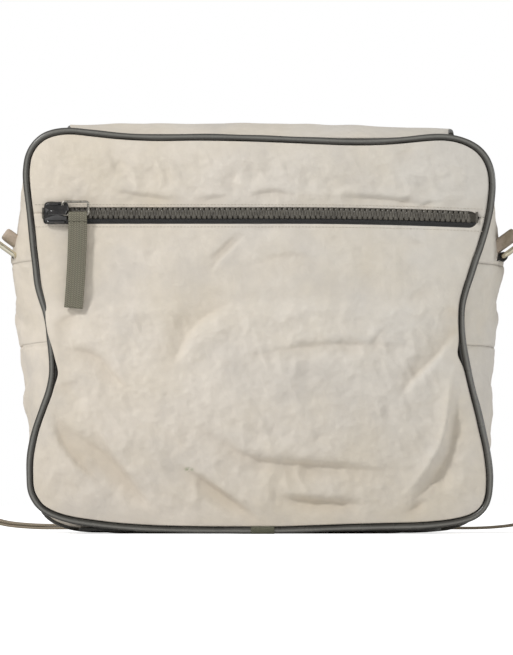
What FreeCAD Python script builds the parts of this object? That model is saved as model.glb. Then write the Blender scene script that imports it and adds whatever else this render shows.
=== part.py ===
import FreeCAD, Part
import math
import os
import re
import Sketcher
from FreeCAD import Vector

# A soft messenger bag that stands on its base. The face with the long zip looks along -Y,
# +X is to the right of that face, +Z is up, and the origin is the middle of the base.

# Driving sizes, in millimetres and degrees
SIZES = {
    # the bag's outline, seen square on
    "bag_height": 306.0,
    "shoulder_half": 182.5,
    "foot_half": 178.5,
    "top_corner": 40.0,
    "foot_corner": 36.0,
    "rear_waist_half": 158.0,
    "rear_waist_level": 146.0,
    "front_waist_half": 171.0,
    "belly_half": 185.0,
    "belly_level": 196.0,
    "mouth_margin": 30.5,
    # cloth and piping
    "seam_depth": 92.0,
    "cloth": 2.0,
    "piping_radius": 2.8,
    "seam_gap": 0.1,
    "upper_seam_drop": 97.3,
    "lower_seam_drop": 161.0,
    "cover_half": 9.0,
    "cover_cloth": 0.7,
    "base_trim": 0.4,
    # zip
    "zip_drop": 58.8,
    "zip_margin": 17.5,
    "tooth_pitch": 4.0,
    "tooth_length": 6.7,
    "tooth_overlap": 5.0,
    "tooth_thickness": 4.4,
    "tooth_proud": 1.6,
    "tooth_foot": 1.6,
    "tooth_shoulder": 2.4,
    "tooth_tip": 1.0,
    "tape_thickness": 0.7,
    "tape_width": 14.0,
    "slit_above": 4.6,
    "slit_below": 8.5,
    "zip_end": 3.0,
    "top_stop_length": 1.5,
    "bottom_stop_length": 1.8,
    "stop_gap": 0.4,
    "slider_start": 1.2,
    "slider_length": 18.5,
    "slider_height": 17.0,
    "slider_plate": 1.6,
    "slider_clearance": 0.35,
    "slider_corner": 3.0,
    "slider_lip": 1.2,
    "post_length": 2.6,
    "post_half": 2.0,
    "bridge_half": 3.4,
    "bridge_wall": 1.4,
    "bridge_half_width": 2.2,
    "bridge_gap": 0.4,
    "bridge_top": 1.3,
    "bail_length": 20.0,
    "bail_height": 10.0,
    "bail_wire": 0.9,
    "bail_rise": 3.6,
    "bail_bend": 1.8,
    "bail_gap": 0.5,
    "bail_inset": 4.5,
    "puller_width": 14.0,
    "puller_length": 72.0,
    "puller_cloth": 1.3,
    "puller_clearance": 0.25,
    "puller_gap": 0.3,
    # pocket behind the zip, and the stiff base
    "pocket_side": 2.0,
    "pocket_slack": 4.0,
    "pocket_step": 8.0,
    "pocket_floor": 60.0,
    "pocket_drop": 28.0,
    "pocket_depth": 9.0,
    "pocket_cloth": 1.0,
    "board_margin": 38.5,
    "board_side_gap": 5.0,
    "board_thickness": 2.5,
    "board_corner": 12.0,
    # flap
    "flap_margin": 32.5,
    "flap_cloth": 2.6,
    "flap_arch_radius": 110.0,
    "flap_hem_level": 6.0,
    "flap_corner": 32.0,
    "binding_radius": 2.3,
    "fold_gap": 0.4,
    "hinge_gap": 0.25,
    "binding_start": 10.0,
    "patch_width": 38.0,
    "patch_height": 90.0,
    "patch_thickness": 1.35,
    "patch_inset": 60.0,
    "patch_foot": 45.0,
    "patch_corner": 4.0,
    # carrying tabs, rings and strap
    "tab_angle": 36.0,
    "tab_reach": 2.1,
    "tab_drop": 80.8,
    "tab_thickness": 10.0,
    "tab_width": 38.0,
    "tab_end": 14.0,
    "tab_root": 30.0,
    "ring_drop": 9.2,
    "ring_start": -4.3,
    "ring_wire": 2.0,
    "ring_length": 24.0,
    "ring_half_width": 21.6,
    "ring_bend": 4.4,
    "loop_clearance": 0.3,
    "anchor_cloth": 1.2,
    "anchor_root": 14.0,
    "anchor_fall": 7.0,
    "anchor_side_gap": 2.0,
    "strap_cloth": 2.2,
    "strap_width": 38.0,
    "strap_leg": 24.0,
    "strap_gap": 0.3,
    "layer_gap": 0.1,
    "strap_floor_level": 3.5,
    "strap_back": 100.0,
    "adjuster_length": 30.0,
    "adjuster_width": 47.0,
    "adjuster_thickness": 3.0,
    "adjuster_slot": 9.0,
    "adjuster_slot_width": 40.0,
    "adjuster_bar": 4.0,
    "keeper_place": -85.0,
    "keeper_length": 10.0,
    "keeper_wall": 1.8,
    "keeper_clearance": 0.35,
}

# Sizes that follow from those above
FOLLOWING = {
    "mouth_half": "shoulder_half - mouth_margin",
    "upper_seam_level": "bag_height - upper_seam_drop",
    "lower_seam_level": "bag_height - lower_seam_drop",
    "panel_outer": "seam_depth / 2 + cloth / 2",
    "zip_level": "bag_height - zip_drop",
    "zip_half": "shoulder_half - zip_margin",
    "chain_half": "tooth_length - tooth_overlap / 2",
    "facing_start": "zip_half + zip_end",
    "pocket_half": "facing_start + pocket_side",
    "pocket_top": "bag_height - pocket_drop",
    "board_half": "foot_half - board_margin",
    "board_width": "seam_depth - 2 * board_side_gap",
    "flap_half": "shoulder_half - flap_margin",
    "fold_radius": "piping_radius + binding_radius + fold_gap",
    "patch_centre": "flap_half - patch_inset",
    "patch_level": "patch_foot + patch_height / 2",
    "tab_reach_x": "belly_half + tab_reach",
    "tab_level": "bag_height - tab_drop",
}

doc = FreeCAD.newDocument("messenger_bag")
sheet = doc.addObject("Spreadsheet::Sheet", "Sizes")
for row, alias in enumerate([*SIZES, *FOLLOWING], start=1):
    sheet.set(f"A{row}", alias)
    sheet.setAlias(f"B{row}", alias)
for row, content in enumerate([*SIZES.values(), *FOLLOWING.values()], start=1):
    sheet.set(f"B{row}", f"={content}")
doc.recompute()


class Values:
    """The sheet's cells, read by name."""

    def __getattr__(self, alias):
        return float(sheet.get(alias))


v = Values()
subparts = []


def bound(words):
    """An expression in which each size's name points at its cell."""

    def cell(found):
        name = found.group(0)
        return f"Sizes.{name}" if name in SIZES or name in FOLLOWING else name

    return re.sub(r"[a-z_]+", cell, words)


def keep(thing, label):
    """Names a finished piece and adds it to the pieces that are written."""
    thing.Label = label
    subparts.append(thing)
    return thing


def feature(label, shape):
    """A piece whose shape is worked out here, in the bag's own frame."""
    thing = doc.addObject("Part::Feature", label)
    thing.Shape = shape
    return keep(thing, label)


def solid_of(shape):
    """The single solid of a boolean's result, or the shape itself."""
    return shape.Solids[0] if len(shape.Solids) == 1 else shape


def slab(x0, x1, y0, y1, z0, z1):
    """A plain block between two corners, used to trim other shapes."""
    return Part.makeBox(x1 - x0, y1 - y0, z1 - z0, Vector(x0, y0, z0))


def box(label, length, width, height, low_x, low_y, low_z):
    """A rectangular piece, each size and place bound to the sheet."""
    thing = doc.addObject("Part::Box", label)
    for name, words in (("Length", length), ("Width", width), ("Height", height)):
        thing.setExpression(name, bound(words))
    for name, words in (("x", low_x), ("y", low_y), ("z", low_z)):
        thing.setExpression(f"Placement.Base.{name}", bound(words))
    return keep(thing, label)


def origin_plane(body, role):
    """One of the body's own origin planes."""
    return next(item for item in body.Origin.OriginFeatures if item.Role == role)


def add_rectangle(sketch, across, along, centre_across, centre_along, name):
    """A rectangle in a sketch, its size and middle bound to the sheet."""
    corners = [Vector(-1, -1, 0), Vector(1, -1, 0), Vector(1, 1, 0), Vector(-1, 1, 0)]
    first = sketch.GeometryCount
    for side in range(4):
        sketch.addGeometry(Part.LineSegment(corners[side], corners[(side + 1) % 4]), False)
    for side in range(4):
        sketch.addConstraint(Sketcher.Constraint("Coincident", first + side, 2, first + (side + 1) % 4, 1))
        sketch.addConstraint(Sketcher.Constraint("Vertical" if side % 2 else "Horizontal", first + side))
    right = f"({centre_across}) + ({across}) / 2"
    far = f"({centre_along}) + ({along}) / 2"
    bounds = [
        ("across", across, ("DistanceX", first, 1, first, 2, 2.0)),
        ("along", along, ("DistanceY", first + 1, 1, first + 1, 2, 2.0)),
        ("right", right, ("DistanceX", -1, 1, first, 2, 1.0)),
        ("far", far, ("DistanceY", -1, 1, first + 1, 2, 1.0)),
    ]
    for ending, words, constraint in bounds:
        title = f"{name}_{ending}"
        index = sketch.addConstraint(Sketcher.Constraint(*constraint))
        sketch.renameConstraint(index, title)
        sketch.setExpression(f"Constraints.{title}", bound(words))


def padded_body(label, role, rectangles, thickness, place, corner=None):
    """A flat piece padded from a sketch of one outer rectangle and any slots inside it."""
    body = doc.addObject("PartDesign::Body", label)
    sketch = body.newObject("Sketcher::SketchObject", f"{label}_sketch")
    sketch.AttachmentSupport = [(origin_plane(body, role), "")]
    sketch.MapMode = "FlatFace"
    for number, (across, along, centre_across, centre_along) in enumerate(rectangles):
        add_rectangle(sketch, across, along, centre_across, centre_along, f"r{number}")
    pad = body.newObject("PartDesign::Pad", f"{label}_pad")
    pad.Profile = sketch
    pad.setExpression("Length", bound(thickness))
    doc.recompute()
    if corner:
        outward = pad.Shape.BoundBox
        edges = []
        for number, edge in enumerate(pad.Shape.Edges, start=1):
            middle = edge.CenterOfMass
            spans = (
                (abs(middle.x - outward.XMin), abs(middle.x - outward.XMax)),
                (abs(middle.y - outward.YMin), abs(middle.y - outward.YMax)),
                (abs(middle.z - outward.ZMin), abs(middle.z - outward.ZMax)),
            )
            if sum(min(pair) < 1e-6 for pair in spans) == 2 and abs(edge.Length - pad.Length.Value) < 1e-6:
                edges.append(f"Edge{number}")
        fillet = body.newObject("PartDesign::Fillet", f"{label}_corners")
        fillet.Base = (pad, edges)
        fillet.setExpression("Radius", bound(corner))
    for name, words in zip(("x", "y", "z"), place):
        body.setExpression(f"Placement.Base.{name}", bound(words))
    return keep(body, label)


# Outlines of the bag, made of lines and tangent arcs
class Section:
    """The half widths of one upright section of the bag, at shoulder, waist or belly, and foot."""

    def __init__(self, middle_half, middle_level):
        self.middle_half = middle_half
        self.middle_level = middle_level


rear_section = Section(v.rear_waist_half, v.rear_waist_level)
belly_section = Section(v.belly_half, v.belly_level)
front_section = Section(v.front_waist_half, v.rear_waist_level)


def arc_points(centre, radius, start, end):
    """Three points of an arc about centre, in x and z, with its angles in radians."""
    return [
        (centre[0] + radius * math.cos(a), centre[1] + radius * math.sin(a))
        for a in (start, (start + end) / 2, end)
    ]


def double_bend(upper, lower, inset):
    """Two tangent arcs that carry the side from one upright tangent to the next, moved inwards by inset."""
    (upper_x, upper_z), (lower_x, lower_z) = upper, lower
    step = upper_x - lower_x
    radius = (step**2 + (upper_z - lower_z) ** 2) / (4 * abs(step))
    turn = math.asin((upper_z - lower_z) / 2 / radius)
    if step > 0:
        first = arc_points((upper_x - radius, upper_z), radius - inset, 0, -turn)
        second = arc_points((lower_x + radius, lower_z), radius + inset, math.pi - turn, math.pi)
    else:
        first = arc_points((upper_x + radius, upper_z), radius + inset, math.pi, math.pi + turn)
        second = arc_points((lower_x - radius, lower_z), radius - inset, turn, 0)
    return [first, second]


def outline(section, inset, y, foot=0.0):
    """The closed outline of a section, inset all round, in the plane at y."""
    top = v.bag_height
    shoulder = (v.shoulder_half, top - v.top_corner)
    middle = (section.middle_half, section.middle_level)
    heel = (v.foot_half, foot + v.foot_corner)
    quarter = math.pi / 2
    side = [arc_points((shoulder[0] - v.top_corner, shoulder[1]), v.top_corner - inset, quarter, 0)]
    side += double_bend(shoulder, middle, inset)
    side += double_bend(middle, heel, inset)
    side += [arc_points((heel[0] - v.foot_corner, heel[1]), v.foot_corner - inset, 0, -quarter)]
    other = [[(-x, z) for x, z in reversed(arc)] for arc in reversed(side)]

    def edge(points):
        return Part.Arc(*[Vector(x, y, z) for x, z in points]).toShape()

    def line(start, end):
        return Part.LineSegment(Vector(start[0], y, start[1]), Vector(end[0], y, end[1])).toShape()

    edges = [edge(arc) for arc in side]
    edges.append(line(side[-1][-1], other[0][0]))
    edges += [edge(arc) for arc in other]
    edges.append(line(other[-1][-1], side[0][0]))
    return Part.Wire(edges)


rear_seam = -v.seam_depth / 2
front_seam = v.seam_depth / 2
panel_inset = 2 * v.piping_radius + v.seam_gap
gusset_half = v.seam_depth / 2 - v.piping_radius - v.seam_gap
FAR = 400.0


def shell_block(inset):
    """The space inside the gussets' outer skin, moved inwards by inset. It reaches a little below the base."""
    sections = ((rear_section, -gusset_half), (belly_section, 0.0), (front_section, gusset_half))
    wires = [outline(section, inset, y, -v.base_trim) for section, y in sections]
    return Part.makeLoft(wires, True, False)


outer_block = shell_block(0.0)
gusset_ring = outer_block.cut(shell_block(v.cloth))


def gussets():
    """The strip of cloth between the two faces, flat at the base, in pieces between its cross seams,
    and open at the bag's mouth."""
    levels = v.lower_seam_level, v.upper_seam_level
    feature("gusset_bottom", solid_of(gusset_ring.common(slab(-FAR, FAR, -FAR, FAR, 0.0, levels[0]))))
    for side, low, high in (("left", -FAR, 0.0), ("right", 0.0, FAR)):
        middle = slab(low, high, -FAR, FAR, levels[0], levels[1])
        feature(f"gusset_middle_{side}", solid_of(gusset_ring.common(middle)))
        near = (-FAR, -v.mouth_half) if side == "left" else (v.mouth_half, FAR)
        upper = slab(near[0], near[1], -FAR, FAR, levels[1], FAR)
        feature(f"gusset_upper_{side}", solid_of(gusset_ring.common(upper)))


def face_plate(section, y_outer, y_inner):
    """A flat panel of cloth inside the piping of one face."""
    face = Part.Face(outline(section, panel_inset, min(y_outer, y_inner)))
    return face.extrude(Vector(0, abs(y_outer - y_inner), 0))


def panels():
    """The rear panel, in two pieces and two facings round the zip, and the front panel."""
    rear = face_plate(rear_section, -v.panel_outer, -v.panel_outer + v.cloth)
    slit_top = v.zip_level + v.slit_above
    slit_foot = v.zip_level - v.slit_below
    feature("back_panel_upper", solid_of(rear.common(slab(-FAR, FAR, -FAR, FAR, slit_top, FAR))))
    feature("back_panel_lower", solid_of(rear.common(slab(-FAR, FAR, -FAR, FAR, -FAR, slit_foot))))
    for side, near in (("left", (-FAR, -v.facing_start)), ("right", (v.facing_start, FAR))):
        block = slab(near[0], near[1], -FAR, FAR, slit_foot, slit_top)
        feature(f"zip_facing_{side}", solid_of(rear.common(block)))
    feature("front_panel", face_plate(front_section, v.panel_outer, v.panel_outer - v.cloth))


def tube(path, radius):
    """A round tube along a smooth path."""
    start = path.Edges[0]
    at = start.valueAt(start.FirstParameter)
    along = start.tangentAt(start.FirstParameter)
    ring = Part.Wire([Part.makeCircle(radius, at, along)])
    return path.makePipeShell([ring], True, True)


def piping(name, section, y):
    """The covered cord round one face, with the ribbed cover over its butt joint at the bottom."""
    feature(name, solid_of(tube(outline(section, v.piping_radius, y), v.piping_radius)))
    centre = Vector(-v.cover_half, y, v.piping_radius)
    along = Vector(1, 0, 0)
    sleeve = Part.makeCylinder(v.piping_radius + v.cover_cloth, 2 * v.cover_half, centre, along)
    sleeve = sleeve.cut(Part.makeCylinder(v.piping_radius + v.seam_gap / 2, 2 * v.cover_half, centre, along))
    outside = 1 if y > 0 else -1
    inner = y - outside * (v.piping_radius + v.seam_gap / 2)
    room = slab(-FAR, FAR, min(inner, outside * FAR), max(inner, outside * FAR), 0.0, panel_inset - v.seam_gap / 2)
    feature(f"{name}_cover", max(sleeve.common(room).Solids, key=lambda solid: solid.Volume))


# The zip
tooth_outer = -v.panel_outer - v.tooth_proud
tooth_inner = tooth_outer + v.tooth_thickness


def tooth(x, side):
    """One moulded tooth, its foot on the tape at one side and its head between two teeth of the other row."""
    root = v.tooth_pitch * 0.32
    neck = v.tooth_pitch * 0.19
    head = v.tooth_pitch * 0.225
    base = v.chain_half
    tip = v.chain_half - v.tooth_length
    profile = [
        (-root, base),
        (root, base),
        (root, base - v.tooth_foot),
        (neck, base - v.tooth_shoulder),
        (head, tip + v.tooth_tip),
        (head * 0.8, tip),
        (-head * 0.8, tip),
        (-head, tip + v.tooth_tip),
        (-neck, base - v.tooth_shoulder),
        (-root, base - v.tooth_foot),
    ]
    points = [Vector(x + px, tooth_outer, v.zip_level + side * pz) for px, pz in profile]
    return Part.Face(Part.makePolygon(points + points[:1])).extrude(Vector(0, v.tooth_thickness, 0))


def zip_chain():
    """Two tapes, two rows of teeth that mesh, and the stops at both ends."""
    count = int((2 * v.zip_half - v.tooth_pitch) // v.tooth_pitch)
    start = -v.zip_half + v.tooth_pitch
    for name, side, shift in (("upper", 1, 0.0), ("lower", -1, 0.5)):
        teeth = [tooth(start + (number + shift) * v.tooth_pitch, side) for number in range(count)]
        feature(f"zip_teeth_{name}", Part.makeCompound(teeth))
    size = ("2 * facing_start", "tape_thickness", "tape_width")
    tape_y = "-panel_outer + cloth + seam_gap"
    box("zip_tape_upper", *size, "-facing_start", tape_y, "zip_level + chain_half")
    box("zip_tape_lower", *size, "-facing_start", tape_y, "zip_level - chain_half - tape_width")
    top_stops = []
    for low, high in ((v.stop_gap, v.chain_half), (-v.chain_half, -v.stop_gap)):
        across = (-v.facing_start, -v.facing_start + v.top_stop_length)
        top_stops.append(slab(*across, tooth_outer, tooth_inner, v.zip_level + low, v.zip_level + high))
    feature("zip_top_stops", Part.makeCompound(top_stops))
    box("zip_bottom_stop", "bottom_stop_length", "tooth_thickness", "2 * chain_half",
        "facing_start - bottom_stop_length", "-panel_outer - tooth_proud", "zip_level - chain_half")


slider_left = -v.zip_half - v.slider_start
slider_right = slider_left + v.slider_length
slider_outer = tooth_outer - v.slider_clearance
slider_inner = tooth_inner + v.slider_clearance
bail_y = slider_outer - v.slider_plate - v.bail_wire - v.bail_gap
bail_x = slider_right - v.bail_inset
bail_level = v.zip_level + v.bail_rise


def slider():
    """Two plates joined by the post between the rows, with side lips and the bridge that holds the bail."""
    low = v.zip_level - v.slider_height / 2
    high = v.zip_level + v.slider_height / 2
    outer = slab(slider_left, slider_right, slider_outer - v.slider_plate, slider_outer, low, high)
    inner = slab(slider_left, slider_right, slider_inner, slider_inner + v.slider_plate, low, high)
    outer = outer.makeFillet(v.slider_corner, edges_along_y(outer))
    inner = inner.makeFillet(v.slider_corner, edges_along_y(inner))
    post = slab(slider_left, slider_left + v.post_length, slider_outer, slider_inner,
                v.zip_level - v.post_half, v.zip_level + v.post_half)
    room = (slider_left + v.slider_corner, slider_right - v.slider_corner, slider_outer, slider_outer + v.slider_lip)
    lips = [slab(*room, low, low + v.slider_lip), slab(*room, high - v.slider_lip, high)]
    bridge_across = (bail_level - v.bridge_half_width, bail_level + v.bridge_half_width)
    bridge_inner = bail_y - v.bail_wire - v.bridge_gap
    bridge_outer = bridge_inner - v.bridge_top
    near, far = bail_x - v.bridge_half, bail_x + v.bridge_half
    feet = [
        slab(x, x + v.bridge_wall, bridge_outer, slider_outer - v.slider_plate, *bridge_across)
        for x in (near, far - v.bridge_wall)
    ]
    top = slab(near, far, bridge_outer, bridge_inner, *bridge_across)
    feature("slider_body", solid_of(outer.fuse([inner, post, *lips, *feet, top]).removeSplitter()))


def edges_along_y(shape):
    """The edges that run through the thickness of an upright plate."""
    return [edge for edge in shape.Edges if abs(edge.tangentAt(edge.FirstParameter).y) > 0.9]


def wire_loop(corners, radius, bend):
    """A closed loop of round wire through the corners, each turned with an arc."""
    edges = []
    ends = []
    count = len(corners)
    for number in range(count):
        before, here, after = corners[number - 1], corners[number], corners[(number + 1) % count]
        towards_before = (before - here).normalize()
        towards_after = (after - here).normalize()
        start = here + towards_before * bend
        end = here + towards_after * bend
        inwards = (towards_before + towards_after).normalize()
        middle = here + inwards * bend * (math.sqrt(2) - 1)
        ends.append((start, middle, end))
    for number in range(count):
        start, middle, end = ends[number]
        edges.append(Part.Arc(start, middle, end).toShape())
        edges.append(Part.LineSegment(end, ends[(number + 1) % count][0]).toShape())
    edges = edges[-1:] + edges[:-1]
    return solid_of(tube(Part.Wire(edges), radius))


def slider_pull():
    """The wire bail in the slider's bridge and the folded webbing that hangs from it."""
    far = bail_x + v.bail_length
    low, high = bail_level - v.bail_height / 2, bail_level + v.bail_height / 2
    places = [(bail_x, high), (far, high), (far, low), (bail_x, low)]
    corners = [Vector(x, bail_y, z) for x, z in places]
    feature("slider_bail", wire_loop(corners, v.bail_wire, v.bail_bend))
    hole = v.bail_wire + v.puller_clearance
    start = Vector(far - v.bail_wire - v.puller_gap - v.puller_width, bail_y, low)
    width = Vector(v.puller_width, 0, 0)
    webbing = webbing_loop(start, width, Vector(0, 0, -1), hole, v.puller_cloth, v.puller_length)
    feature("webbing_puller", webbing)


# A folded webbing's two layers meet this many outer radii below its bar
WEBBING_TAPER = 3.2


def webbing_loop(centre, width, tail, hole, cloth, length):
    """Webbing folded round a bar: a round end with a hole, drawn in to two flat layers along the tail."""
    side = width.cross(tail).normalize()
    outer = hole + cloth
    taper = WEBBING_TAPER * outer
    lean = math.asin((outer - cloth) / taper)

    def at(across, along):
        return centre + side * across + tail * along

    touch = (outer * math.cos(lean), outer * math.sin(lean))
    crown = Part.Arc(at(-touch[0], touch[1]), at(0, -outer), at(*touch)).toShape()
    places = [touch, (cloth, taper), (cloth, length), (-cloth, length), (-cloth, taper), (-touch[0], touch[1])]
    points = [at(*place) for place in places]
    lines = [Part.LineSegment(points[i], points[i + 1]).toShape() for i in range(len(points) - 1)]
    loop = Part.Face(Part.Wire([crown] + lines)).extrude(width)
    return solid_of(loop.cut(Part.makeCylinder(hole, width.Length, centre, width)))


# Inside the bag
def pocket():
    """The flat pouch behind the zip: an inner sheet, wider at the zip, with a strip of cloth round its edge
    that meets the rear panel. Each strip and sheet is a flat piece, and they meet face to face."""
    wall = v.pocket_cloth
    back = -v.panel_outer + v.cloth + v.seam_gap
    front = back + v.pocket_depth
    tape_foot = v.zip_level - v.chain_half - v.tape_width
    narrow = v.rear_waist_half - panel_inset - v.pocket_slack
    wide = v.pocket_half
    step = tape_foot - v.pocket_step
    sheet_depth = (front - wall, front)
    strip_depth = (back, front - wall)
    pieces = [
        slab(-wide, wide, *sheet_depth, step, v.pocket_top),
        slab(-narrow, narrow, *sheet_depth, v.pocket_floor, step),
        slab(-narrow, narrow, *strip_depth, v.pocket_floor, v.pocket_floor + wall),
        slab(-wide, wide, *strip_depth, v.pocket_top - wall, v.pocket_top),
    ]
    for side in (-1, 1):
        def strip(near, far, low, high):
            return slab(min(side * near, side * far), max(side * near, side * far), *strip_depth, low, high)

        pieces.append(strip(narrow - wall, narrow, v.pocket_floor + wall, step))
        pieces.append(strip(narrow - wall, wide, step, step + wall))
        pieces.append(strip(wide - wall, wide, step + wall, v.pocket_top - wall))
    feature("zip_pocket_bag", Part.makeCompound(pieces))


def base_and_patches():
    """The stiff board in the base and the two pairs of touch fasteners behind the flap."""
    board = [("2 * board_half", "board_width", "0", "0")]
    padded_body("base_board", "XY_Plane", board, "board_thickness", ("0", "0", "cloth + seam_gap"), "board_corner")
    patch = [("patch_width", "patch_height", "0", "0")]
    on_panel = "panel_outer + patch_thickness"
    on_flap = "seam_depth / 2 + fold_radius - flap_cloth / 2"
    for side, place in (("left", "-patch_centre"), ("right", "patch_centre")):
        for name, level in (("loop", on_panel), ("hook", on_flap)):
            padded_body(f"{name}_patch_{side}", "XZ_Plane", patch, "patch_thickness",
                        (place, level, "patch_level"), "patch_corner")


# The flap, sewn at the top of the rear face, over the mouth and down the front
fold_centre = (front_seam, v.bag_height - v.piping_radius)
flap_y = front_seam + v.fold_radius
hinge_reach = (v.piping_radius + v.flap_cloth / 2 + v.hinge_gap) * math.sqrt(0.5)
flap_hinge = (rear_seam + hinge_reach, v.bag_height - v.piping_radius + hinge_reach)


def arch_centre():
    """The middle of the arc that leaves the rear seam and runs into the front fold."""
    away = (fold_centre[0] - flap_hinge[0], fold_centre[1] - flap_hinge[1])
    span = math.hypot(*away)
    long_side, short_side = v.flap_arch_radius, v.flap_arch_radius - v.fold_radius
    along = (long_side**2 - short_side**2 + span**2) / (2 * span)
    down = math.sqrt(long_side**2 - along**2)
    unit = (away[0] / span, away[1] / span)
    return (flap_hinge[0] + along * unit[0] + down * unit[1], flap_hinge[1] + along * unit[1] - down * unit[0])


def flap_curve(shift, x, from_y=None):
    """The flap's section over the mouth, moved outwards by shift: the long arch, then the front fold."""
    centre = arch_centre()
    radius = v.flap_arch_radius + shift
    start = math.atan2(flap_hinge[1] - centre[1], flap_hinge[0] - centre[0])
    if from_y is not None:
        start = math.acos((from_y - centre[0]) / v.flap_arch_radius)
    turn = math.atan2(fold_centre[1] - centre[1], fold_centre[0] - centre[0])
    arch = arc_points(centre, radius, start, turn)
    fold = arc_points(fold_centre, v.fold_radius + shift, turn, 0.0)
    edges = [Part.Arc(*[Vector(x, y, z) for y, z in points]).toShape() for points in (arch, fold)]
    return edges, arch, fold


def flap():
    """Top and front of the flap, with the round binding along its edges."""
    half_cloth = v.flap_cloth / 2
    edge_half = v.flap_half - 2 * v.binding_radius
    outer, outer_arch, outer_fold = flap_curve(half_cloth, -edge_half)
    inner, inner_arch, inner_fold = flap_curve(-half_cloth, -edge_half)
    near = [Vector(-edge_half, y, z) for y, z in (outer_arch[0], inner_arch[0])]
    end = [Vector(-edge_half, y, z) for y, z in (outer_fold[2], inner_fold[2])]
    centre = arch_centre()
    start = math.atan2(flap_hinge[1] - centre[1], flap_hinge[0] - centre[0])
    back = Vector(-edge_half, flap_hinge[0] - half_cloth * math.sin(start),
                  flap_hinge[1] + half_cloth * math.cos(start))
    cap = Part.Arc(near[1], back, near[0]).toShape()
    rim = Part.Wire([cap] + outer + [Part.LineSegment(end[0], end[1]).toShape()] + inner[::-1])
    feature("flap_top", Part.Face(rim).extrude(Vector(2 * edge_half, 0, 0)))
    for side, sign in (("left", -1), ("right", 1)):
        edges = flap_curve(0.0, sign * (v.flap_half - v.binding_radius), flap_hinge[0] + v.binding_start)[0]
        feature(f"flap_top_binding_{side}", solid_of(tube(Part.Wire(edges), v.binding_radius)))
    top = fold_centre[1] - v.fold_gap
    cut_edge = flap_rim(2 * v.binding_radius, flap_y - half_cloth, top)
    head = Part.LineSegment(cut_edge[-1].Vertexes[-1].Point, cut_edge[0].Vertexes[0].Point).toShape()
    plate = Part.Face(Part.Wire(cut_edge + [head]))
    feature("flap_front", plate.extrude(Vector(0, v.flap_cloth, 0)))
    bound_edge = Part.Wire(flap_rim(v.binding_radius, flap_y, top))
    feature("flap_front_binding", solid_of(tube(bound_edge, v.binding_radius)))


def flap_rim(inset, y, top):
    """The flap's free edge: down one side, round the two lower corners and up the other side."""
    half = v.flap_half - inset
    foot = v.flap_hem_level + inset
    bend = v.flap_corner - inset
    left = arc_points((-half + bend, foot + bend), bend, math.pi, 1.5 * math.pi)
    right = arc_points((half - bend, foot + bend), bend, 1.5 * math.pi, 2 * math.pi)

    def at(point):
        return Vector(point[0], y, point[1])

    return [
        Part.LineSegment(Vector(-half, y, top), at(left[0])).toShape(),
        Part.Arc(*[at(point) for point in left]).toShape(),
        Part.LineSegment(at(left[2]), at(right[0])).toShape(),
        Part.Arc(*[at(point) for point in right]).toShape(),
        Part.LineSegment(at(right[2]), Vector(half, y, top)).toShape(),
    ]


# Tabs, rings and the shoulder strap, drawn for the right side and mirrored for the left
lean = math.radians(v.tab_angle)
outwards = Vector(math.cos(lean), 0, math.sin(lean))
upwards = Vector(-math.sin(lean), 0, math.cos(lean))
tab_point = Vector(v.tab_reach_x, 0, v.tab_level)
ring_pivot = tab_point - upwards * v.ring_drop + outwards * v.ring_start
ring_far = ring_pivot + outwards * v.ring_length
strap_start = ring_far + outwards * (v.strap_leg + v.strap_gap)


def both_sides(name, shape):
    """A piece and its mirror image, the right one first."""
    feature(f"{name}_right", shape)
    feature(f"{name}_left", shape.mirror(Vector(0, 0, 0), Vector(1, 0, 0)))


def strip_along(start, end, thickness, width):
    """A flat bar from start to end, with its width along Y."""
    along = (end - start).normalize()
    across = Vector(-along.z, 0, along.x) * (thickness / 2)
    corners = [start + across, end + across, end - across, start - across]
    corners = [Vector(p.x, -width / 2, p.z) for p in corners]
    return Part.Face(Part.makePolygon(corners + corners[:1])).extrude(Vector(0, width, 0))


def rings_and_tabs():
    """The padded tab, the black loop that holds the ring, the ring, and the strap's sewn end round it."""
    root, end = tab_point - outwards * v.tab_root, tab_point + outwards * v.tab_end
    tab = strip_along(root, end, v.tab_thickness, v.tab_width)
    tab = tab.cut(outer_block)
    tab = max(tab.Solids, key=lambda solid: solid.CenterOfMass.x)
    both_sides("side_tab", tab)
    hole = v.ring_wire + v.loop_clearance
    anchor_radius = hole + v.anchor_cloth
    anchor_width = 2 * (v.ring_half_width - v.ring_wire - v.anchor_side_gap)
    low = ring_pivot - Vector(0, anchor_width / 2, 0)
    anchor = Part.makeCylinder(anchor_radius, anchor_width, low, Vector(0, 1, 0))
    sewn = ring_pivot - Vector(v.anchor_root, 0, v.anchor_fall)
    sewn_part = strip_along(sewn, ring_pivot, 2 * v.anchor_cloth, anchor_width)
    anchor = anchor.fuse(sewn_part).cut(Part.makeCylinder(hole, anchor_width, low, Vector(0, 1, 0)))
    anchor = anchor.cut(outer_block)
    anchor = max(anchor.Solids, key=lambda solid: solid.CenterOfMass.x)
    both_sides("anchor_loop", anchor)
    side = Vector(0, v.ring_half_width, 0)
    corners = [ring_far - side, ring_far + side, ring_pivot + side, ring_pivot - side]
    both_sides("ring", wire_loop(corners, v.ring_wire, v.ring_bend))
    width = Vector(0, v.strap_width, 0)
    both_sides("strap_end", webbing_loop(ring_far - width / 2, width, outwards, hole, v.strap_cloth, v.strap_leg))


# The free strap's route on the right side, from the sewn end round to the middle behind the bag
STRAP_ROUTE = [
    (240.0, 0.0, 252.3),
    (254.0, 3.0, 250.0),
    (259.0, 12.0, 224.0),
    (258.0, 28.0, 184.0),
    (256.0, 46.0, 140.0),
    (252.0, 64.0, 96.0),
    (245.0, 81.0, 56.0),
    (234.0, 92.5, 23.0),
    (212.0, 98.0, 7.0),
    (182.0, 100.0, 3.5),
    (150.0, 100.0, 3.5),
    (75.0, 100.0, 3.5),
    (0.0, 100.0, 3.5),
]


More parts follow.
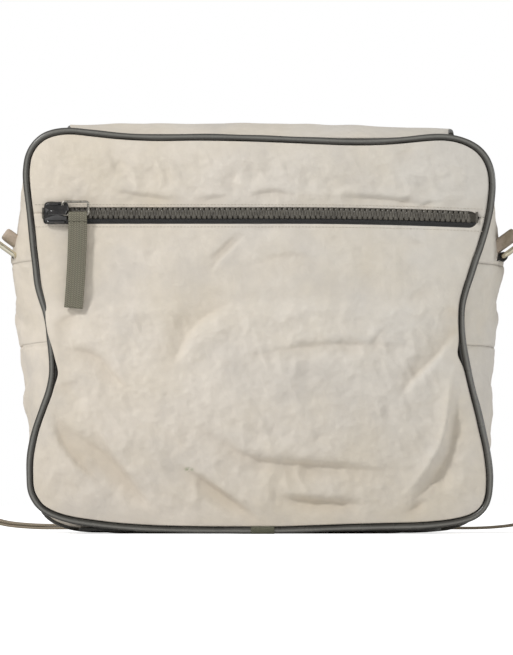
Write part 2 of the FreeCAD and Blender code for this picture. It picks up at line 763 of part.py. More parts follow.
def strap_line(steps):
    """Points and directions along the strap: smooth arcs of parabola between the middles of its runs."""
    corners = [strap_start] + [Vector(*p) for p in STRAP_ROUTE]
    joints = [corners[0]] + [(corners[i] + corners[i + 1]) * 0.5 for i in range(1, len(corners) - 2)] + [corners[-1]]
    points, ways = [], []
    for number in range(len(joints) - 1):
        a, b, c = joints[number], corners[number + 1], joints[number + 1]
        for step in range(steps + (number == len(joints) - 2)):
            t = step / steps
            points.append(a * (1 - t) ** 2 + b * (2 * t * (1 - t)) + c * t**2)
            ways.append(((b - a) * (1 - t) + (c - b) * t).normalize())
    return points, ways


def strap_layer(low, high, stop=0.0):
    """One layer of webbing, from low to high above the strap's own middle line, as a ruled band. It runs from
    the sewn end to stop, a place on the straight run behind the bag."""
    points, ways = strap_line(3)
    reached = sum(point.x > stop for point in points)
    points, ways = points[:reached] + [Vector(stop, points[-1].y, points[-1].z)], ways[:reached] + [ways[-1]]
    rings = []
    for point, way in zip(points, ways):
        across = (Vector(0, 1, 0) - way * way.y).normalize()
        above = across.cross(way).normalize()
        half = across * (v.strap_width / 2)
        rings.append([point + half + above * high, point - half + above * high,
                      point - half + above * low, point + half + above * low])
    faces = [Part.Face(Part.makePolygon(ring + ring[:1])) for ring in (rings[0], rings[-1])]
    for near, far in zip(rings, rings[1:]):
        for side in range(4):
            edges = [Part.LineSegment(ring[side], ring[(side + 1) % 4]).toShape() for ring in (near, far)]
            faces.append(Part.makeRuledSurface(*edges))
    band = Part.Solid(Part.makeShell(faces))
    if band.Volume < 0:
        band.reverse()
    return band


def strap():
    """The shoulder strap behind the bag: one layer on the right, doubled back on the left."""
    half = v.strap_cloth / 2
    single = strap_layer(-half, half)
    feature("strap_main_right", single)
    feature("strap_main_left", single.mirror(Vector(0, 0, 0), Vector(1, 0, 0)))
    doubled = strap_layer(half + v.layer_gap, half + v.layer_gap + v.strap_cloth, v.adjuster_length / 2)
    feature("strap_return", doubled.mirror(Vector(0, 0, 0), Vector(1, 0, 0)))


def strap_hardware():
    """The three-bar adjuster where the webbing doubles back, and the keeper that slides on both layers."""
    slot = ("adjuster_slot", "adjuster_slot_width")
    rectangles = [
        ("adjuster_length", "adjuster_width", "0", "0"),
        (*slot, "-(adjuster_slot + adjuster_bar) / 2", "0"),
        (*slot, "(adjuster_slot + adjuster_bar) / 2", "0"),
    ]
    padded_body("strap_adjuster", "XY_Plane", rectangles, "adjuster_thickness",
                ("0", "strap_back", "strap_floor_level + strap_cloth / 2 + layer_gap"))
    inside = "(2 * strap_cloth + layer_gap + 2 * keeper_clearance)"
    width = "(strap_width + 2 * keeper_clearance)"
    rectangles = [
        (f"{width} + 2 * keeper_wall", f"{inside} + 2 * keeper_wall", "0", "0"),
        (width, inside, "0", "0"),
    ]
    padded_body("strap_keeper", "YZ_Plane", rectangles, "keeper_length",
                ("keeper_place - keeper_length / 2", "strap_back",
                 "strap_floor_level + strap_cloth / 2 + layer_gap / 2"))


gussets()
panels()
piping("back_piping", rear_section, rear_seam)
piping("front_piping", front_section, front_seam)
zip_chain()
slider()
slider_pull()
pocket()
base_and_patches()
flap()
rings_and_tabs()
strap()
strap_hardware()
doc.recompute()

# Every object is sound before anything is written
for item in doc.Objects:
    if {"Invalid", "Error"} & set(item.State):
        raise RuntimeError(f"{item.Label} failed: {item.State}")
for item in subparts:
    if item.Shape.isNull() or not item.Shape.isValid():
        raise RuntimeError(f"{item.Label} has no sound shape")

os.makedirs("parts", exist_ok=True)
for item in subparts:
    item.Shape.exportStep(f"parts/{item.Label}.step")

whole = FreeCAD.BoundBox()
for item in subparts:
    box_of_piece = item.Shape.BoundBox
    whole.add(box_of_piece)
    print(f"{item.Label}: {len(item.Shape.Solids)} solid(s), {item.Shape.Volume:.0f} mm3,"
          f" x {box_of_piece.XMin:.1f}..{box_of_piece.XMax:.1f},"
          f" y {box_of_piece.YMin:.1f}..{box_of_piece.YMax:.1f}, z {box_of_piece.ZMin:.1f}..{box_of_piece.ZMax:.1f}")
print(f"whole part: {whole.XLength:.1f} x {whole.YLength:.1f} x {whole.ZLength:.1f} mm")
points = strap_line(12)[0]
one_side = sum((points[i + 1] - points[i]).Length for i in range(len(points) - 1))
print(f"strap, one side: {one_side:.0f} mm")
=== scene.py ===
# %% [markdown]
# # A messenger bag
# The bag is a soft box of beige nylon. Its rear face has a long moulded zip, and a dark covered cord, the
# piping, runs round each face. A flap covers the mouth and the front, and a strap hangs from two side rings.
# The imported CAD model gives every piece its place. This file dresses those pieces in cloth, metal and plastic.

# %% Load the frame
import bpy
import numpy as np
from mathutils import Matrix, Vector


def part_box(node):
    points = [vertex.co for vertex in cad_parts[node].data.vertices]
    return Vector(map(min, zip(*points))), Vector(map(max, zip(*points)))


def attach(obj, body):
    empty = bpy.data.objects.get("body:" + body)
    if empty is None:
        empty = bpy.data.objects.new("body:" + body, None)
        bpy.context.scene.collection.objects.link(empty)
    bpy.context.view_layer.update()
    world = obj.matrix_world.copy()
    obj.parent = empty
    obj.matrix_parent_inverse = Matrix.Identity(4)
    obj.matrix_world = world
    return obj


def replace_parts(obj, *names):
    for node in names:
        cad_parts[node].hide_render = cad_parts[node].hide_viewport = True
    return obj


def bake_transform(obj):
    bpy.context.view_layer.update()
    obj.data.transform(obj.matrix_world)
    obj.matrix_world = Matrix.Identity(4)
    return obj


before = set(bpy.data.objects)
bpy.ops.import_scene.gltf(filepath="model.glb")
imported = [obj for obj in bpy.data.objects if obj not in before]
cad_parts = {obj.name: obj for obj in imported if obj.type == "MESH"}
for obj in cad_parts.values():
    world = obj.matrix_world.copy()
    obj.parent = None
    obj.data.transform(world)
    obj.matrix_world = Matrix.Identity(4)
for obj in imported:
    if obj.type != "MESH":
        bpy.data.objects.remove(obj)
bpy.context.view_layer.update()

MM = 0.001
MIDDLE_LEVEL = 150.0

# %% [markdown]
# ## The camera
# A long lens from far away keeps the bag's sides nearly parallel, as in a picture of goods for sale. It stands
# low, near the table, so that the lower corners of the front can be seen beneath the rear face.

# %% The camera
PICTURE_HEIGHT = 0.5044
DISTANCE = 4.0
AIM = np.array([-0.0027, -0.047, 0.159])
EYE = np.array([-0.0027, -0.047 - DISTANCE, 0.035])
lens = bpy.data.cameras.new("camera")
lens.lens = lens.sensor_width * DISTANCE / PICTURE_HEIGHT
lens.clip_start, lens.clip_end = 0.05, 50.0
camera = bpy.data.objects.new("camera", lens)
camera.location = EYE
tilt = np.arctan2(AIM[2] - EYE[2], AIM[1] - EYE[1])
camera.rotation_euler = (np.pi / 2 + tilt, 0, 0)
bpy.context.collection.objects.link(camera)
bpy.context.scene.camera = camera
bpy.context.scene.view_settings.view_transform = "Standard"
print(f"lens {lens.lens:.0f} mm, tilted up {np.degrees(tilt):.1f} degrees")

# %% [markdown]
# ## Lines
# The edges of the bag's pieces are lines: a seam, a piping, a strap. A few small helpers make them from chosen
# points: a soft step, a smooth line, and the square directions along it. Blender's curves could do this too,
# but a formula keeps every edge where it is wanted.


# %% Lines
def ramp(low, high, value):
    """A soft step from 0 below low to 1 above high: three t squared less two t cubed."""
    t = np.clip((value - low) / (high - low), 0, 1)
    return t * t * (3 - 2 * t)


def even(line, count, closed=False):
    """The same line with count points at equal distances along it."""
    line = np.asarray(line, float)
    if closed:
        line = np.vstack([line, line[:1]])
    reach = np.concatenate([[0], np.cumsum(np.linalg.norm(np.diff(line, axis=0), axis=1))])
    places = np.linspace(0, reach[-1], count, endpoint=not closed)
    return np.stack([np.interp(places, reach, line[:, k]) for k in range(line.shape[1])], 1)


def smooth_line(points, count, closed=False):
    """A line through all the points. Between two of them it is the cubic whose slope at each is half the
    step between that point's neighbours."""
    p = np.asarray(points, float)
    p = np.vstack([p[-1:], p, p[:2]]) if closed else np.vstack([2 * p[0] - p[1], p, 2 * p[-1] - p[-2]])
    runs = len(p) - 3
    t = np.linspace(0, runs, 30 * runs + 1)
    i = np.minimum(t.astype(int), runs - 1)
    f = (t - i)[:, None]
    a, b, c, d = p[i], p[i + 1], p[i + 2], p[i + 3]
    line = 0.5 * (2 * b + (c - a) * f + (2 * a - 5 * b + 4 * c - d) * f**2 + (3 * b - a - 3 * c + d) * f**3)
    return even(line[:-1] if closed else line, count, closed)


def length_of(line):
    """The length of a line: the sum of the distances between its points."""
    return np.linalg.norm(np.diff(line, axis=0), axis=1).sum()


def unit(vectors):
    """Each vector divided by its length."""
    return vectors / np.maximum(np.linalg.norm(vectors, axis=-1, keepdims=True), 1e-9)


def frame_along(line, across, closed=False):
    """The direction of a line at each point, with two square directions: the given one made square, and
    their cross product."""
    way = np.roll(line, -1, 0) - np.roll(line, 1, 0) if closed else np.gradient(line, axis=0)
    way = unit(way)
    across = np.asarray(across, float)
    side = unit(across - (way @ across)[:, None] * way)
    return way, side, np.cross(side, way)


# %% [markdown]
# ## Skins
# Cloth, webbing, cord and plastic are all made here as a skin over a grid of points, in rows and columns. A tube
# and a band of webbing are skins whose section is carried along a line. Every skin gets a flat pattern (UV) in
# metres, so that a weave keeps its real size, and cloth gets its thickness from a Solidify modifier. A few plain
# pieces keep their CAD mesh, and only have their edges rounded off, which is quicker than making them again.


# %% Skins
def quads_of(values):
    """The four corners of every cell of a grid, in turn round the cell."""
    return np.stack([values[:-1, :-1], values[:-1, 1:], values[1:, 1:], values[1:, :-1]], 2)


def skin(name, grid, material, body="bag", ring=False, loop=False, caps=False, face=None, centre=None,
         flat=None, wall=0.0):
    """A mesh over a grid of points in millimetres, in rows and columns. ring joins the last column to the
    first, loop the last row to the first, and caps closes the first and last rows. The faces turn outwards:
    along face, or away from centre, which is the middle unless given. flat gives the pattern's own
    coordinates, or arc lengths are used."""
    grid = np.asarray(grid, float)
    rows, columns = grid.shape[:2]
    index = np.arange(rows * columns).reshape(rows, columns)
    if ring:
        index = np.hstack([index, index[:, :1]])
    if loop:
        index = np.vstack([index, index[:1]])
    points = grid.reshape(-1, 3)
    full = points[index]
    if flat is None:
        u = np.concatenate([[0], np.cumsum(np.linalg.norm(np.diff(full, axis=1), axis=2).mean(0))])
        v = np.concatenate([[0], np.cumsum(np.linalg.norm(np.diff(full, axis=0), axis=2).mean(1))])
        flat = np.stack(np.meshgrid(u, v), -1)
    faces = quads_of(index).reshape(-1, 4)
    uv = quads_of(flat * MM).reshape(-1, 4, 2)
    a, b, c, d = (points[faces[:, k]] for k in range(4))
    turned = np.cross(c - a, d - b)
    if face is None:
        outward = (a + c) / 2 - (points.mean(0) if centre is None else centre)
    else:
        outward = np.asarray(face, float)
    ends = [index[0, :-1][::-1], index[-1, :-1]] if caps else []
    if (turned * outward).sum() < 0:
        faces, uv, ends = faces[:, ::-1], uv[:, ::-1], [end[::-1] for end in ends]
    mesh = bpy.data.meshes.new(name)
    mesh.from_pydata((points * MM).tolist(), [], faces.tolist() + [end.tolist() for end in ends])
    layer = mesh.uv_layers.new(name="UVMap")
    layer.data.foreach_set("uv", np.concatenate([uv.ravel(), np.zeros(2 * sum(map(len, ends)))]).astype(np.float32))
    mesh.polygons.foreach_set("use_smooth", [True] * len(faces) + [False] * len(ends))
    mesh.materials.append(material)
    return placed(name, mesh, body, wall)


def placed(name, mesh, body, wall=0.0):
    """A finished mesh as a piece that rides on a body, or on none."""
    piece = bpy.data.objects.new(name, mesh)
    bpy.context.collection.objects.link(piece)
    if wall:
        cloth = piece.modifiers.new("cloth", "SOLIDIFY")
        cloth.thickness = wall * MM
        cloth.offset = -1
    if body:
        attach(piece, body)
    print(f"{name}: {len(mesh.polygons)} faces")
    return piece


def tube(name, line, radius, across, material, body="bag", closed=False, sides=16):
    """A round section carried along a line: centre plus radius times cosine and sine of the turn."""
    _, side, above = frame_along(line, across, closed)
    turn = np.linspace(0, 2 * np.pi, sides, endpoint=False)[:, None]
    radius = np.broadcast_to(np.asarray(radius, float), (len(line),))[:, None, None]
    grid = line[:, None] + radius * (np.cos(turn) * side[:, None] + np.sin(turn) * above[:, None])
    return skin(name, grid, material, body, ring=True, loop=closed, caps=not closed)


def band(name, line, across, width, thickness, material, body="bag"):
    """Webbing: a flat section with round selvedges carried along a line."""
    _, side, above = frame_along(line, across)
    half, r = width / 2 - thickness / 2, thickness / 2
    turn = np.linspace(-np.pi / 2, np.pi / 2, 7)
    right = np.stack([half + r * np.cos(turn), r * np.sin(turn)], 1)
    top = np.stack([np.linspace(half, -half, 11)[1:-1], np.full(9, r)], 1)
    profile = np.vstack([right, top, -right, -top])
    grid = line[:, None] + profile[None, :, :1] * side[:, None] + profile[None, :, 1:] * above[:, None]
    return skin(name, grid, material, body, ring=True, caps=True)


def softened(cad_name, bevel, material, body):
    """A copy of a CAD piece with its loose triangles joined and its edges rounded off."""
    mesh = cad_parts[cad_name].data.copy()
    piece = bpy.data.objects.new(f"{cad_name}_soft", mesh)
    joined = piece.modifiers.new("join", "WELD")
    joined.merge_threshold = 0.00001
    rounded = piece.modifiers.new("round", "BEVEL")
    rounded.width, rounded.segments, rounded.limit_method = bevel * MM, 3, "ANGLE"
    rounded.angle_limit = np.radians(35)
    print(f"{cad_name}: edges rounded by {bevel} mm")
    bpy.context.collection.objects.link(piece)
    mesh.materials.clear()
    mesh.materials.append(material)
    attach(piece, body)
    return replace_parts(piece, cad_name)


# %% [markdown]
# ## Finishes
# A finish is a material made of nodes. Effects that several finishes share are node groups: a plain weave, a
# herringbone, the marks of use, and small creases. They give only colours and heights, and each material keeps
# its own shader. Picture textures could do this too, but nodes stay sharp at any distance.


# %% Node helpers
def colour(red, green, blue):
    """A colour written from 0 to 255, as the straight-light value that Blender mixes."""
    c = np.array([red, green, blue]) / 255
    c = np.where(c <= 0.04045, c / 12.92, ((c + 0.055) / 1.055) ** 2.4)
    return (*c.tolist(), 1.0)


def node(tree, kind, inputs=None, **settings):
    """A new node, its inputs set to values or linked to other nodes' outputs."""
    made = tree.nodes.new(f"ShaderNode{kind}")
    for name, value in settings.items():
        setattr(made, name, value)
    for name, value in (inputs or {}).items():
        if isinstance(value, bpy.types.NodeSocket):
            tree.links.new(value, made.inputs[name])
        else:
            made.inputs[name].default_value = value
    return made


def group(name, inputs, outputs):
    """An empty node group with float or colour sockets."""
    tree = bpy.data.node_groups.new(name, "ShaderNodeTree")
    for title, kind, value in inputs:
        made = tree.interface.new_socket(title, in_out="INPUT", socket_type=f"NodeSocket{kind}")
        made.default_value = value
    for title, kind in outputs:
        tree.interface.new_socket(title, in_out="OUTPUT", socket_type=f"NodeSocket{kind}")
    return tree, tree.nodes.new("NodeGroupInput").outputs, tree.nodes.new("NodeGroupOutput").inputs


def use(tree, shared, **values):
    """A shared group placed in a material, with this material's own values."""
    made = tree.nodes.new("ShaderNodeGroup")
    made.node_tree = shared
    for name, value in values.items():
        socket = made.inputs[name.replace("_", " ")]
        if isinstance(value, bpy.types.NodeSocket):
            tree.links.new(value, socket)
        else:
            socket.default_value = value
    return made.outputs


def maths(tree, operation, *values):
    """One Math node's result."""
    return node(tree, "Math", dict(enumerate(values)), operation=operation).outputs[0]


def mixed(tree, share, first, second, how="MIX"):
    """Two colours mixed by a share."""
    made = node(tree, "Mix", data_type="RGBA", blend_type=how)
    for place, value in ((0, share), (6, first), (7, second)):
        if isinstance(value, bpy.types.NodeSocket):
            tree.links.new(value, made.inputs[place])
        else:
            made.inputs[place].default_value = value
    return made.outputs[2]


def between(tree, value, low, high, to_low=0.0, to_high=1.0):
    """A value mapped from one range to another and kept inside it."""
    names = ("Value", "From Min", "From Max", "To Min", "To Max")
    return node(tree, "MapRange", dict(zip(names, (value, low, high, to_low, to_high)))).outputs[0]


# %% [markdown]
# ## Shared effects
# Nylon, webbing and tape are woven, the puller is woven in a zigzag called herringbone, and every surface has
# marks of use and small creases. Each effect is one group of nodes, made from sine waves and noise, because
# several finishes need it with other values.

# %% Shared effects
weave, given, gives = group("plain_weave", [("Threads", "Float", 1800.0), ("Slant", "Float", 0.0)],
                            [("Height", "Float")])
place = node(weave, "SeparateXYZ", {0: node(weave, "TexCoord").outputs["UV"]}).outputs
slanted = maths(weave, "ADD", place[0], maths(weave, "MULTIPLY", place[1], given["Slant"]))
warp = maths(weave, "SINE", maths(weave, "MULTIPLY", slanted, maths(weave, "MULTIPLY", given["Threads"], np.pi)))
weft = maths(weave, "SINE", maths(weave, "MULTIPLY", place[1], maths(weave, "MULTIPLY", given["Threads"], np.pi)))
crossing = maths(weave, "MULTIPLY", warp, weft)
weave.links.new(between(weave, crossing, -1, 1), gives["Height"])

herringbone, given, gives = group("herringbone", [("Columns", "Float", 480.0), ("Rows", "Float", 700.0)],
                                  [("Height", "Float")])
place = node(herringbone, "SeparateXYZ", {0: node(herringbone, "TexCoord").outputs["UV"]}).outputs
column = maths(herringbone, "PINGPONG", maths(herringbone, "MULTIPLY", place[0], given["Columns"]), 1.0)
climb = maths(herringbone, "ADD", maths(herringbone, "MULTIPLY", place[1], given["Rows"]), column)
rows_of = maths(herringbone, "SINE", maths(herringbone, "MULTIPLY", climb, 2 * np.pi))
gap = between(herringbone, maths(herringbone, "ABSOLUTE", maths(herringbone, "SUBTRACT", column, 0.5)), 0.5, 0.36)
herringbone.links.new(maths(herringbone, "MULTIPLY", between(herringbone, rows_of, -0.7, 0.7), gap),
                      gives["Height"])

use_marks, given, gives = group("marks_of_use",
                                [("Clean", "Color", (1, 1, 1, 1)), ("Soiled", "Color", (1, 1, 1, 1)),
                                ("Patch size", "Float", 9.0), ("Amount", "Float", 0.5)], [("Color", "Color")])
spot = node(use_marks, "TexCoord").outputs["Object"]
broad = node(use_marks, "TexNoise",
             {"Vector": spot, "Scale": given["Patch size"], "Detail": 4.0, "Roughness": 0.6}).outputs[0]
fine = node(use_marks, "TexNoise", {"Vector": spot, "Scale": 160.0, "Detail": 3.0}).outputs[0]
mask = maths(use_marks, "MULTIPLY", between(use_marks, broad, 0.42, 0.72), given["Amount"])
toned = mixed(use_marks, mask, given["Clean"], given["Soiled"])
level = between(use_marks, fine, 0.3, 0.7, 0.965, 1.03)
level = node(use_marks, "CombineColor", dict(enumerate([level] * 3))).outputs[0]
grain = mixed(use_marks, 1.0, toned, level, "MULTIPLY")
use_marks.links.new(grain, gives["Color"])

creases, given, gives = group("small_creases", [("Size", "Float", 60.0), ("Sharpness", "Float", 0.5)],
                              [("Height", "Float")])
spot = node(creases, "TexCoord").outputs["Object"]
first = node(creases, "TexNoise",
             {"Vector": spot, "Scale": given["Size"], "Detail": 5.0, "Roughness": given["Sharpness"],
              "Distortion": 0.6}).outputs[0]
ridge = maths(creases, "ABSOLUTE", maths(creases, "SUBTRACT", first, 0.5))
creases.links.new(maths(creases, "SUBTRACT", 1.0, ridge), gives["Height"])
print("shared effects:", ", ".join(bpy.data.node_groups.keys()))


# %% [markdown]
# ## Building a finish
# One helper puts a Principled shader together from a base colour, a roughness and a pile of heights. The small
# makers below it hand it colours and heights. Each height goes through its own Bump node with a depth in
# millimetres, so that a thread stays shallow and a crease deep.


# %% Building a finish
def finish(name, base, roughness, height=(), metallic=0.0, **shader):
    """A material: a base colour or its node, a roughness, and a pile of bump heights with their depths in
    millimetres. Other words name inputs of the Principled shader."""
    material = bpy.data.materials.new(name)
    material.use_nodes = True
    tree = material.node_tree
    principled = tree.nodes["Principled BSDF"]
    for title, value in {"Base Color": base, "Roughness": roughness}.items():
        value = value(tree) if callable(value) else value
        if isinstance(value, bpy.types.NodeSocket):
            tree.links.new(value, principled.inputs[title])
        else:
            principled.inputs[title].default_value = value
    principled.inputs["Metallic"].default_value = metallic
    for title, value in shader.items():
        principled.inputs[title.replace("_", " ")].default_value = value
    normal = None
    for maker, depth in height:
        inputs = {"Height": maker(tree), "Distance": depth * MM, "Strength": 1.0}
        if normal is not None:
            inputs["Normal"] = normal
        normal = node(tree, "Bump", inputs).outputs[0]
    if normal is not None:
        tree.links.new(normal, principled.inputs["Normal"])
    return material


def woven(threads, slant=0.0):
    """The weave group's height at a number of threads to the metre."""
    return lambda tree: use(tree, weave, Threads=threads, Slant=slant)["Height"]


def creased(size, sharpness=0.5):
    """The crease group's height."""
    return lambda tree: use(tree, creases, Size=size, Sharpness=sharpness)["Height"]


def marked(clean, soiled, size=9.0, amount=0.5):
    """A base colour with broad soft marks of use."""
    return lambda tree: use(tree, use_marks, Clean=clean, Soiled=soiled, Patch_size=size, Amount=amount)["Color"]


def noise(size, low, high, detail=3.0):
    """A value that wanders between low and high."""
    def made(tree):
        at = node(tree, "TexCoord").outputs["Object"]
        wander = node(tree, "TexNoise", {"Vector": at, "Scale": size, "Detail": detail}).outputs[0]
        return between(tree, wander, 0.35, 0.65, low, high)
    return made


def twilled(columns, rows, light=None, dark=None):
    """The herringbone's height, or a colour from dark between its threads to light on top of them: painted shade
    between the threads.
    """
    def made(tree):
        height = use(tree, herringbone, Columns=columns, Rows=rows)["Height"]
        return mixed(tree, height, dark, light) if light else height
    return made


def threads_with_painted_shade(light, dark, threads, slant=0.0):
    """A colour that is light on top of each thread and dark between threads: painted shade in the gaps."""
    return lambda tree: mixed(tree, use(tree, weave, Threads=threads, Slant=slant)["Height"], dark, light)


# %% [markdown]
# ## The bag's finishes
# The shell is coated nylon that has yellowed and greyed, the piping is vinyl with a painted highlight along its
# crown, and the zip, rings and buckles are plastic and metal. The shell's stain and specks are placed by formula,
# its colour is painted lighter at the left and top and darker to the right and below, as light from the upper
# left, and its fold valleys get a brownish stain and painted shade through an attribute that the rear panels
# carry. A painted picture would hold the same marks, but not at every distance.


# %% The nylon shell
def shell_colour(tree):
    """Warm beige and lighter at the left and top, greyer and darker to the right and below, which is painted light
    from the upper left; with yellowish and grey blotches, one small green stain, a brownish stain with painted
    shade in the fold valleys, and a few dark specks."""
    at = node(tree, "TexCoord").outputs["Object"]
    x, _, z = node(tree, "SeparateXYZ", {0: at}).outputs
    # Painted light: lighter and warmer at the left and top, greyer and darker to the right and below, as from a
    # lamp at the upper left.
    painted_light_across = mixed(tree, between(tree, x, -0.17, 0.16), colour(227, 217, 203), colour(206, 201, 192))
    low = mixed(tree, between(tree, z, 0.16, 0.02, 0.0, 0.5), painted_light_across, colour(205, 196, 183))
    cloth = use(tree, use_marks, Clean=low, Soiled=colour(207, 195, 172), Patch_size=11.0, Amount=0.5)["Color"]
    grey = node(tree, "TexNoise", {"Vector": at, "Scale": 22.0, "Detail": 5.0, "W": 3.0},
                noise_dimensions="4D").outputs[0]
    cloth = mixed(tree, between(tree, grey, 0.5, 0.72, 0.0, 0.5), cloth, colour(190, 184, 176))
    stain_spot = node(tree, "VectorMath", {0: at, 1: (-0.0545, -0.047, 0.0495)}, operation="SUBTRACT").outputs[0]
    stretched = node(tree, "VectorMath", {0: stain_spot, 1: (1.0, 0.3, 1.9)}, operation="MULTIPLY").outputs[0]
    reach = node(tree, "VectorMath", {0: stretched}, operation="LENGTH").outputs["Value"]
    speckled = node(tree, "TexNoise", {"Vector": at, "Scale": 420.0, "Detail": 2.0}).outputs[0]
    stain = maths(tree, "MULTIPLY", between(tree, reach, 0.005, 0.0015), between(tree, speckled, 0.4, 0.6))
    cloth = mixed(tree, maths(tree, "MULTIPLY", stain, 0.75), cloth, colour(120, 140, 95))
    # A brownish stain and painted shade: the colour darkens in the fold valleys, by their depth.
    fold_stain_and_shade = node(tree, "Attribute", attribute_name="fold_stain_and_shade").outputs["Fac"]
    cloth = mixed(tree, maths(tree, "MULTIPLY", fold_stain_and_shade, 0.26), cloth, colour(182, 163, 134))
    specks = node(tree, "TexVoronoi", {"Vector": at, "Scale": 24.0}, feature="F1").outputs["Distance"]
    return mixed(tree, between(tree, specks, 0.03, 0.012, 0.0, 0.55), cloth, colour(110, 100, 88))


shell_cloth = finish("shell_nylon", shell_colour, noise(40, 0.62, 0.78),
                     [(woven(2200), 0.05), (creased(55), 0.9), (creased(210, 0.6), 0.18)], Sheen_Weight=0.12)
lining_cloth = finish("lining_cloth", marked(colour(150, 145, 134), colour(122, 116, 104)), 0.85,
                      [(woven(1500), 0.08), (creased(70), 1.2)])
piping_vinyl = finish("piping_vinyl", marked(colour(66, 64, 59), colour(44, 41, 36), 30, 0.7), noise(90, 0.26, 0.4),
                      [(creased(160, 0.65), 0.22), (creased(700, 0.5), 0.04)], Specular_IOR_Level=0.7)


def painted_crown_highlight(tree):
    """The piping's vinyl with a painted highlight: a pale stripe along its crown. The flat pattern's u is the way
    round the section, and the crown lies about half way round."""
    plain = use(tree, use_marks, Clean=colour(62, 60, 55), Soiled=colour(42, 39, 34), Patch_size=30.0,
                Amount=0.7)["Color"]
    round_way = node(tree, "SeparateXYZ", {0: node(tree, "TexCoord").outputs["UV"]}).outputs[0]
    off = maths(tree, "ABSOLUTE", maths(tree, "SUBTRACT", round_way, np.pi * 2.7 * MM))
    crown = between(tree, off, 0.0016, 0.0002, 0.0, 0.55)
    return mixed(tree, crown, plain, colour(146, 145, 139))


# A painted highlight: the piping's crown is coloured pale.
piping_painted_highlight = finish("piping_painted_highlight", painted_crown_highlight, noise(90, 0.24, 0.38),
                      [(creased(160, 0.65), 0.2), (creased(700, 0.5), 0.04)])
# The tapes, webbings and touch fastener below are dark between their threads: painted shade.
rib_tape = finish("rib_tape", threads_with_painted_shade(colour(112, 112, 92), colour(62, 62, 50), 1100), 0.8,
                  [(woven(1100), 0.35)])
tape_cloth = finish("zip_tape_cloth", threads_with_painted_shade(colour(76, 76, 76), colour(48, 48, 48), 1300, 0.5), 0.8,
                    [(woven(1300, 0.5), 0.15)])
tooth_plastic = finish("tooth_plastic", marked(colour(94, 90, 82), colour(62, 58, 52), 220, 0.8),
                       noise(300, 0.2, 0.36), [(creased(900), 0.04)])
slider_black = finish("slider_black", marked(colour(30, 29, 29), colour(66, 60, 54), 260, 0.4),
                      noise(240, 0.12, 0.26), [(creased(420), 0.12)], metallic=0.4, Coat_Weight=1.0)
wire_metal = finish("wire_metal", marked(colour(176, 172, 162), colour(96, 90, 80), 320, 0.6), noise(400, 0.2, 0.4),
                    [(creased(1200), 0.02)], metallic=1.0)
ring_metal = finish("ring_metal", marked(colour(226, 220, 200), colour(186, 172, 134), 120, 0.6),
                    noise(260, 0.12, 0.26), [(creased(900), 0.02)], metallic=1.0)
puller_weave = finish("puller_webbing", twilled(480, 640, colour(146, 142, 124), colour(102, 98, 82)),
                      noise(200, 0.7, 0.85), [(twilled(480, 640), 0.35)])
strap_weave = finish("strap_webbing", threads_with_painted_shade(colour(182, 168, 150), colour(128, 118, 96), 900),
                     noise(90, 0.7, 0.85), [(woven(900), 0.3)])
tab_cloth = finish("tab_cloth", marked(colour(186, 170, 154), colour(120, 110, 80), 60, 0.8), 0.78,
                   [(woven(1200), 0.2), (creased(120), 0.6)])
# Near black: painted shade, for the loops that sit in the shade between the gusset and the ring.
loop_webbing_painted_shade = finish("loop_webbing_painted_shade", threads_with_painted_shade(colour(44, 42, 38), colour(14, 14, 14), 800), 0.7,
                       [(woven(800), 0.3)])
buckle_plastic = finish("buckle_plastic", marked(colour(40, 40, 40), colour(66, 64, 60), 80, 0.5),
                        noise(160, 0.32, 0.5), [(creased(500), 0.05)])
touch_cloth = finish("touch_fastener", threads_with_painted_shade(colour(176, 168, 152), colour(112, 106, 92), 700), 0.95,
                     [(woven(700), 0.4), (creased(900, 0.8), 0.5)])
board_sheet = finish("board_sheet", marked(colour(58, 57, 54), colour(40, 38, 36), 40, 0.6), noise(60, 0.5, 0.65),
                     [(creased(400), 0.08)])
stitch_thread = finish("stitch_thread", marked(colour(196, 188, 174), colour(160, 150, 132), 300, 0.5), 0.7,
                       [(woven(3000), 0.05)])
print(len(bpy.data.materials), "finishes")

# %% [markdown]
# ## The shoulder strap
# The strap is one flat length of webbing, 38 mm wide. It is sewn round a ring at each side, arcs over beyond
# the picture's edges, falls behind the bag and lies along the floor, doubled back through its adjuster on the
# left. Webbing is limp, so its line is a smooth spline through a route, with the same points as the CAD's.

# %% The strap's line
STRAP_ROUTE = [
    (0.2281, 0.0, 0.2436), (0.2400, 0.0, 0.2523), (0.2540, 0.003, 0.2500), (0.2590, 0.012, 0.2240),
    (0.2580, 0.028, 0.1840), (0.2560, 0.046, 0.1400), (0.2520, 0.064, 0.0960), (0.2450, 0.081, 0.0560),
    (0.2340, 0.0925, 0.0230), (0.2120, 0.098, 0.0070), (0.1820, 0.100, 0.0035), (0.1500, 0.100, 0.0035),
    (0.0750, 0.100, 0.0035), (0.0, 0.100, 0.0035),
]
STRAP_WIDTH, STRAP_CLOTH, LAYER_STEP = 38.0, 2.0, 2.3


def route_line(points):
    """The smooth spline that a route of control points gives, read back from Blender as a mesh line."""
    curve = bpy.data.curves.new("route", "CURVE")
    curve.dimensions = "3D"
    curve.resolution_u = 8
    spline = curve.splines.new("NURBS")
    spline.points.add(len(points) - 1)
    spline.points.foreach_set("co", [value for point in points for value in (*point, 1.0)])
    spline.order_u = 3
    spline.use_endpoint_u = True
    holder = bpy.data.objects.new("route", curve)
    mesh = bpy.data.meshes.new_from_object(holder)
    line = np.array([vertex.co for vertex in mesh.vertices])
    bpy.data.objects.remove(holder)
    return line / MM


right_line = route_line(STRAP_ROUTE)
left_line = right_line * (-1, 1, 1)
_, _, above = frame_along(left_line, (0, 1, 0))
lifted = left_line + above * np.sign(above[-1, 2]) * LAYER_STEP
return_line = lifted[lifted[:, 0] < -15.0]
print(f"strap, one side: {length_of(right_line):.0f} mm; doubled layer: {length_of(return_line):.0f} mm")

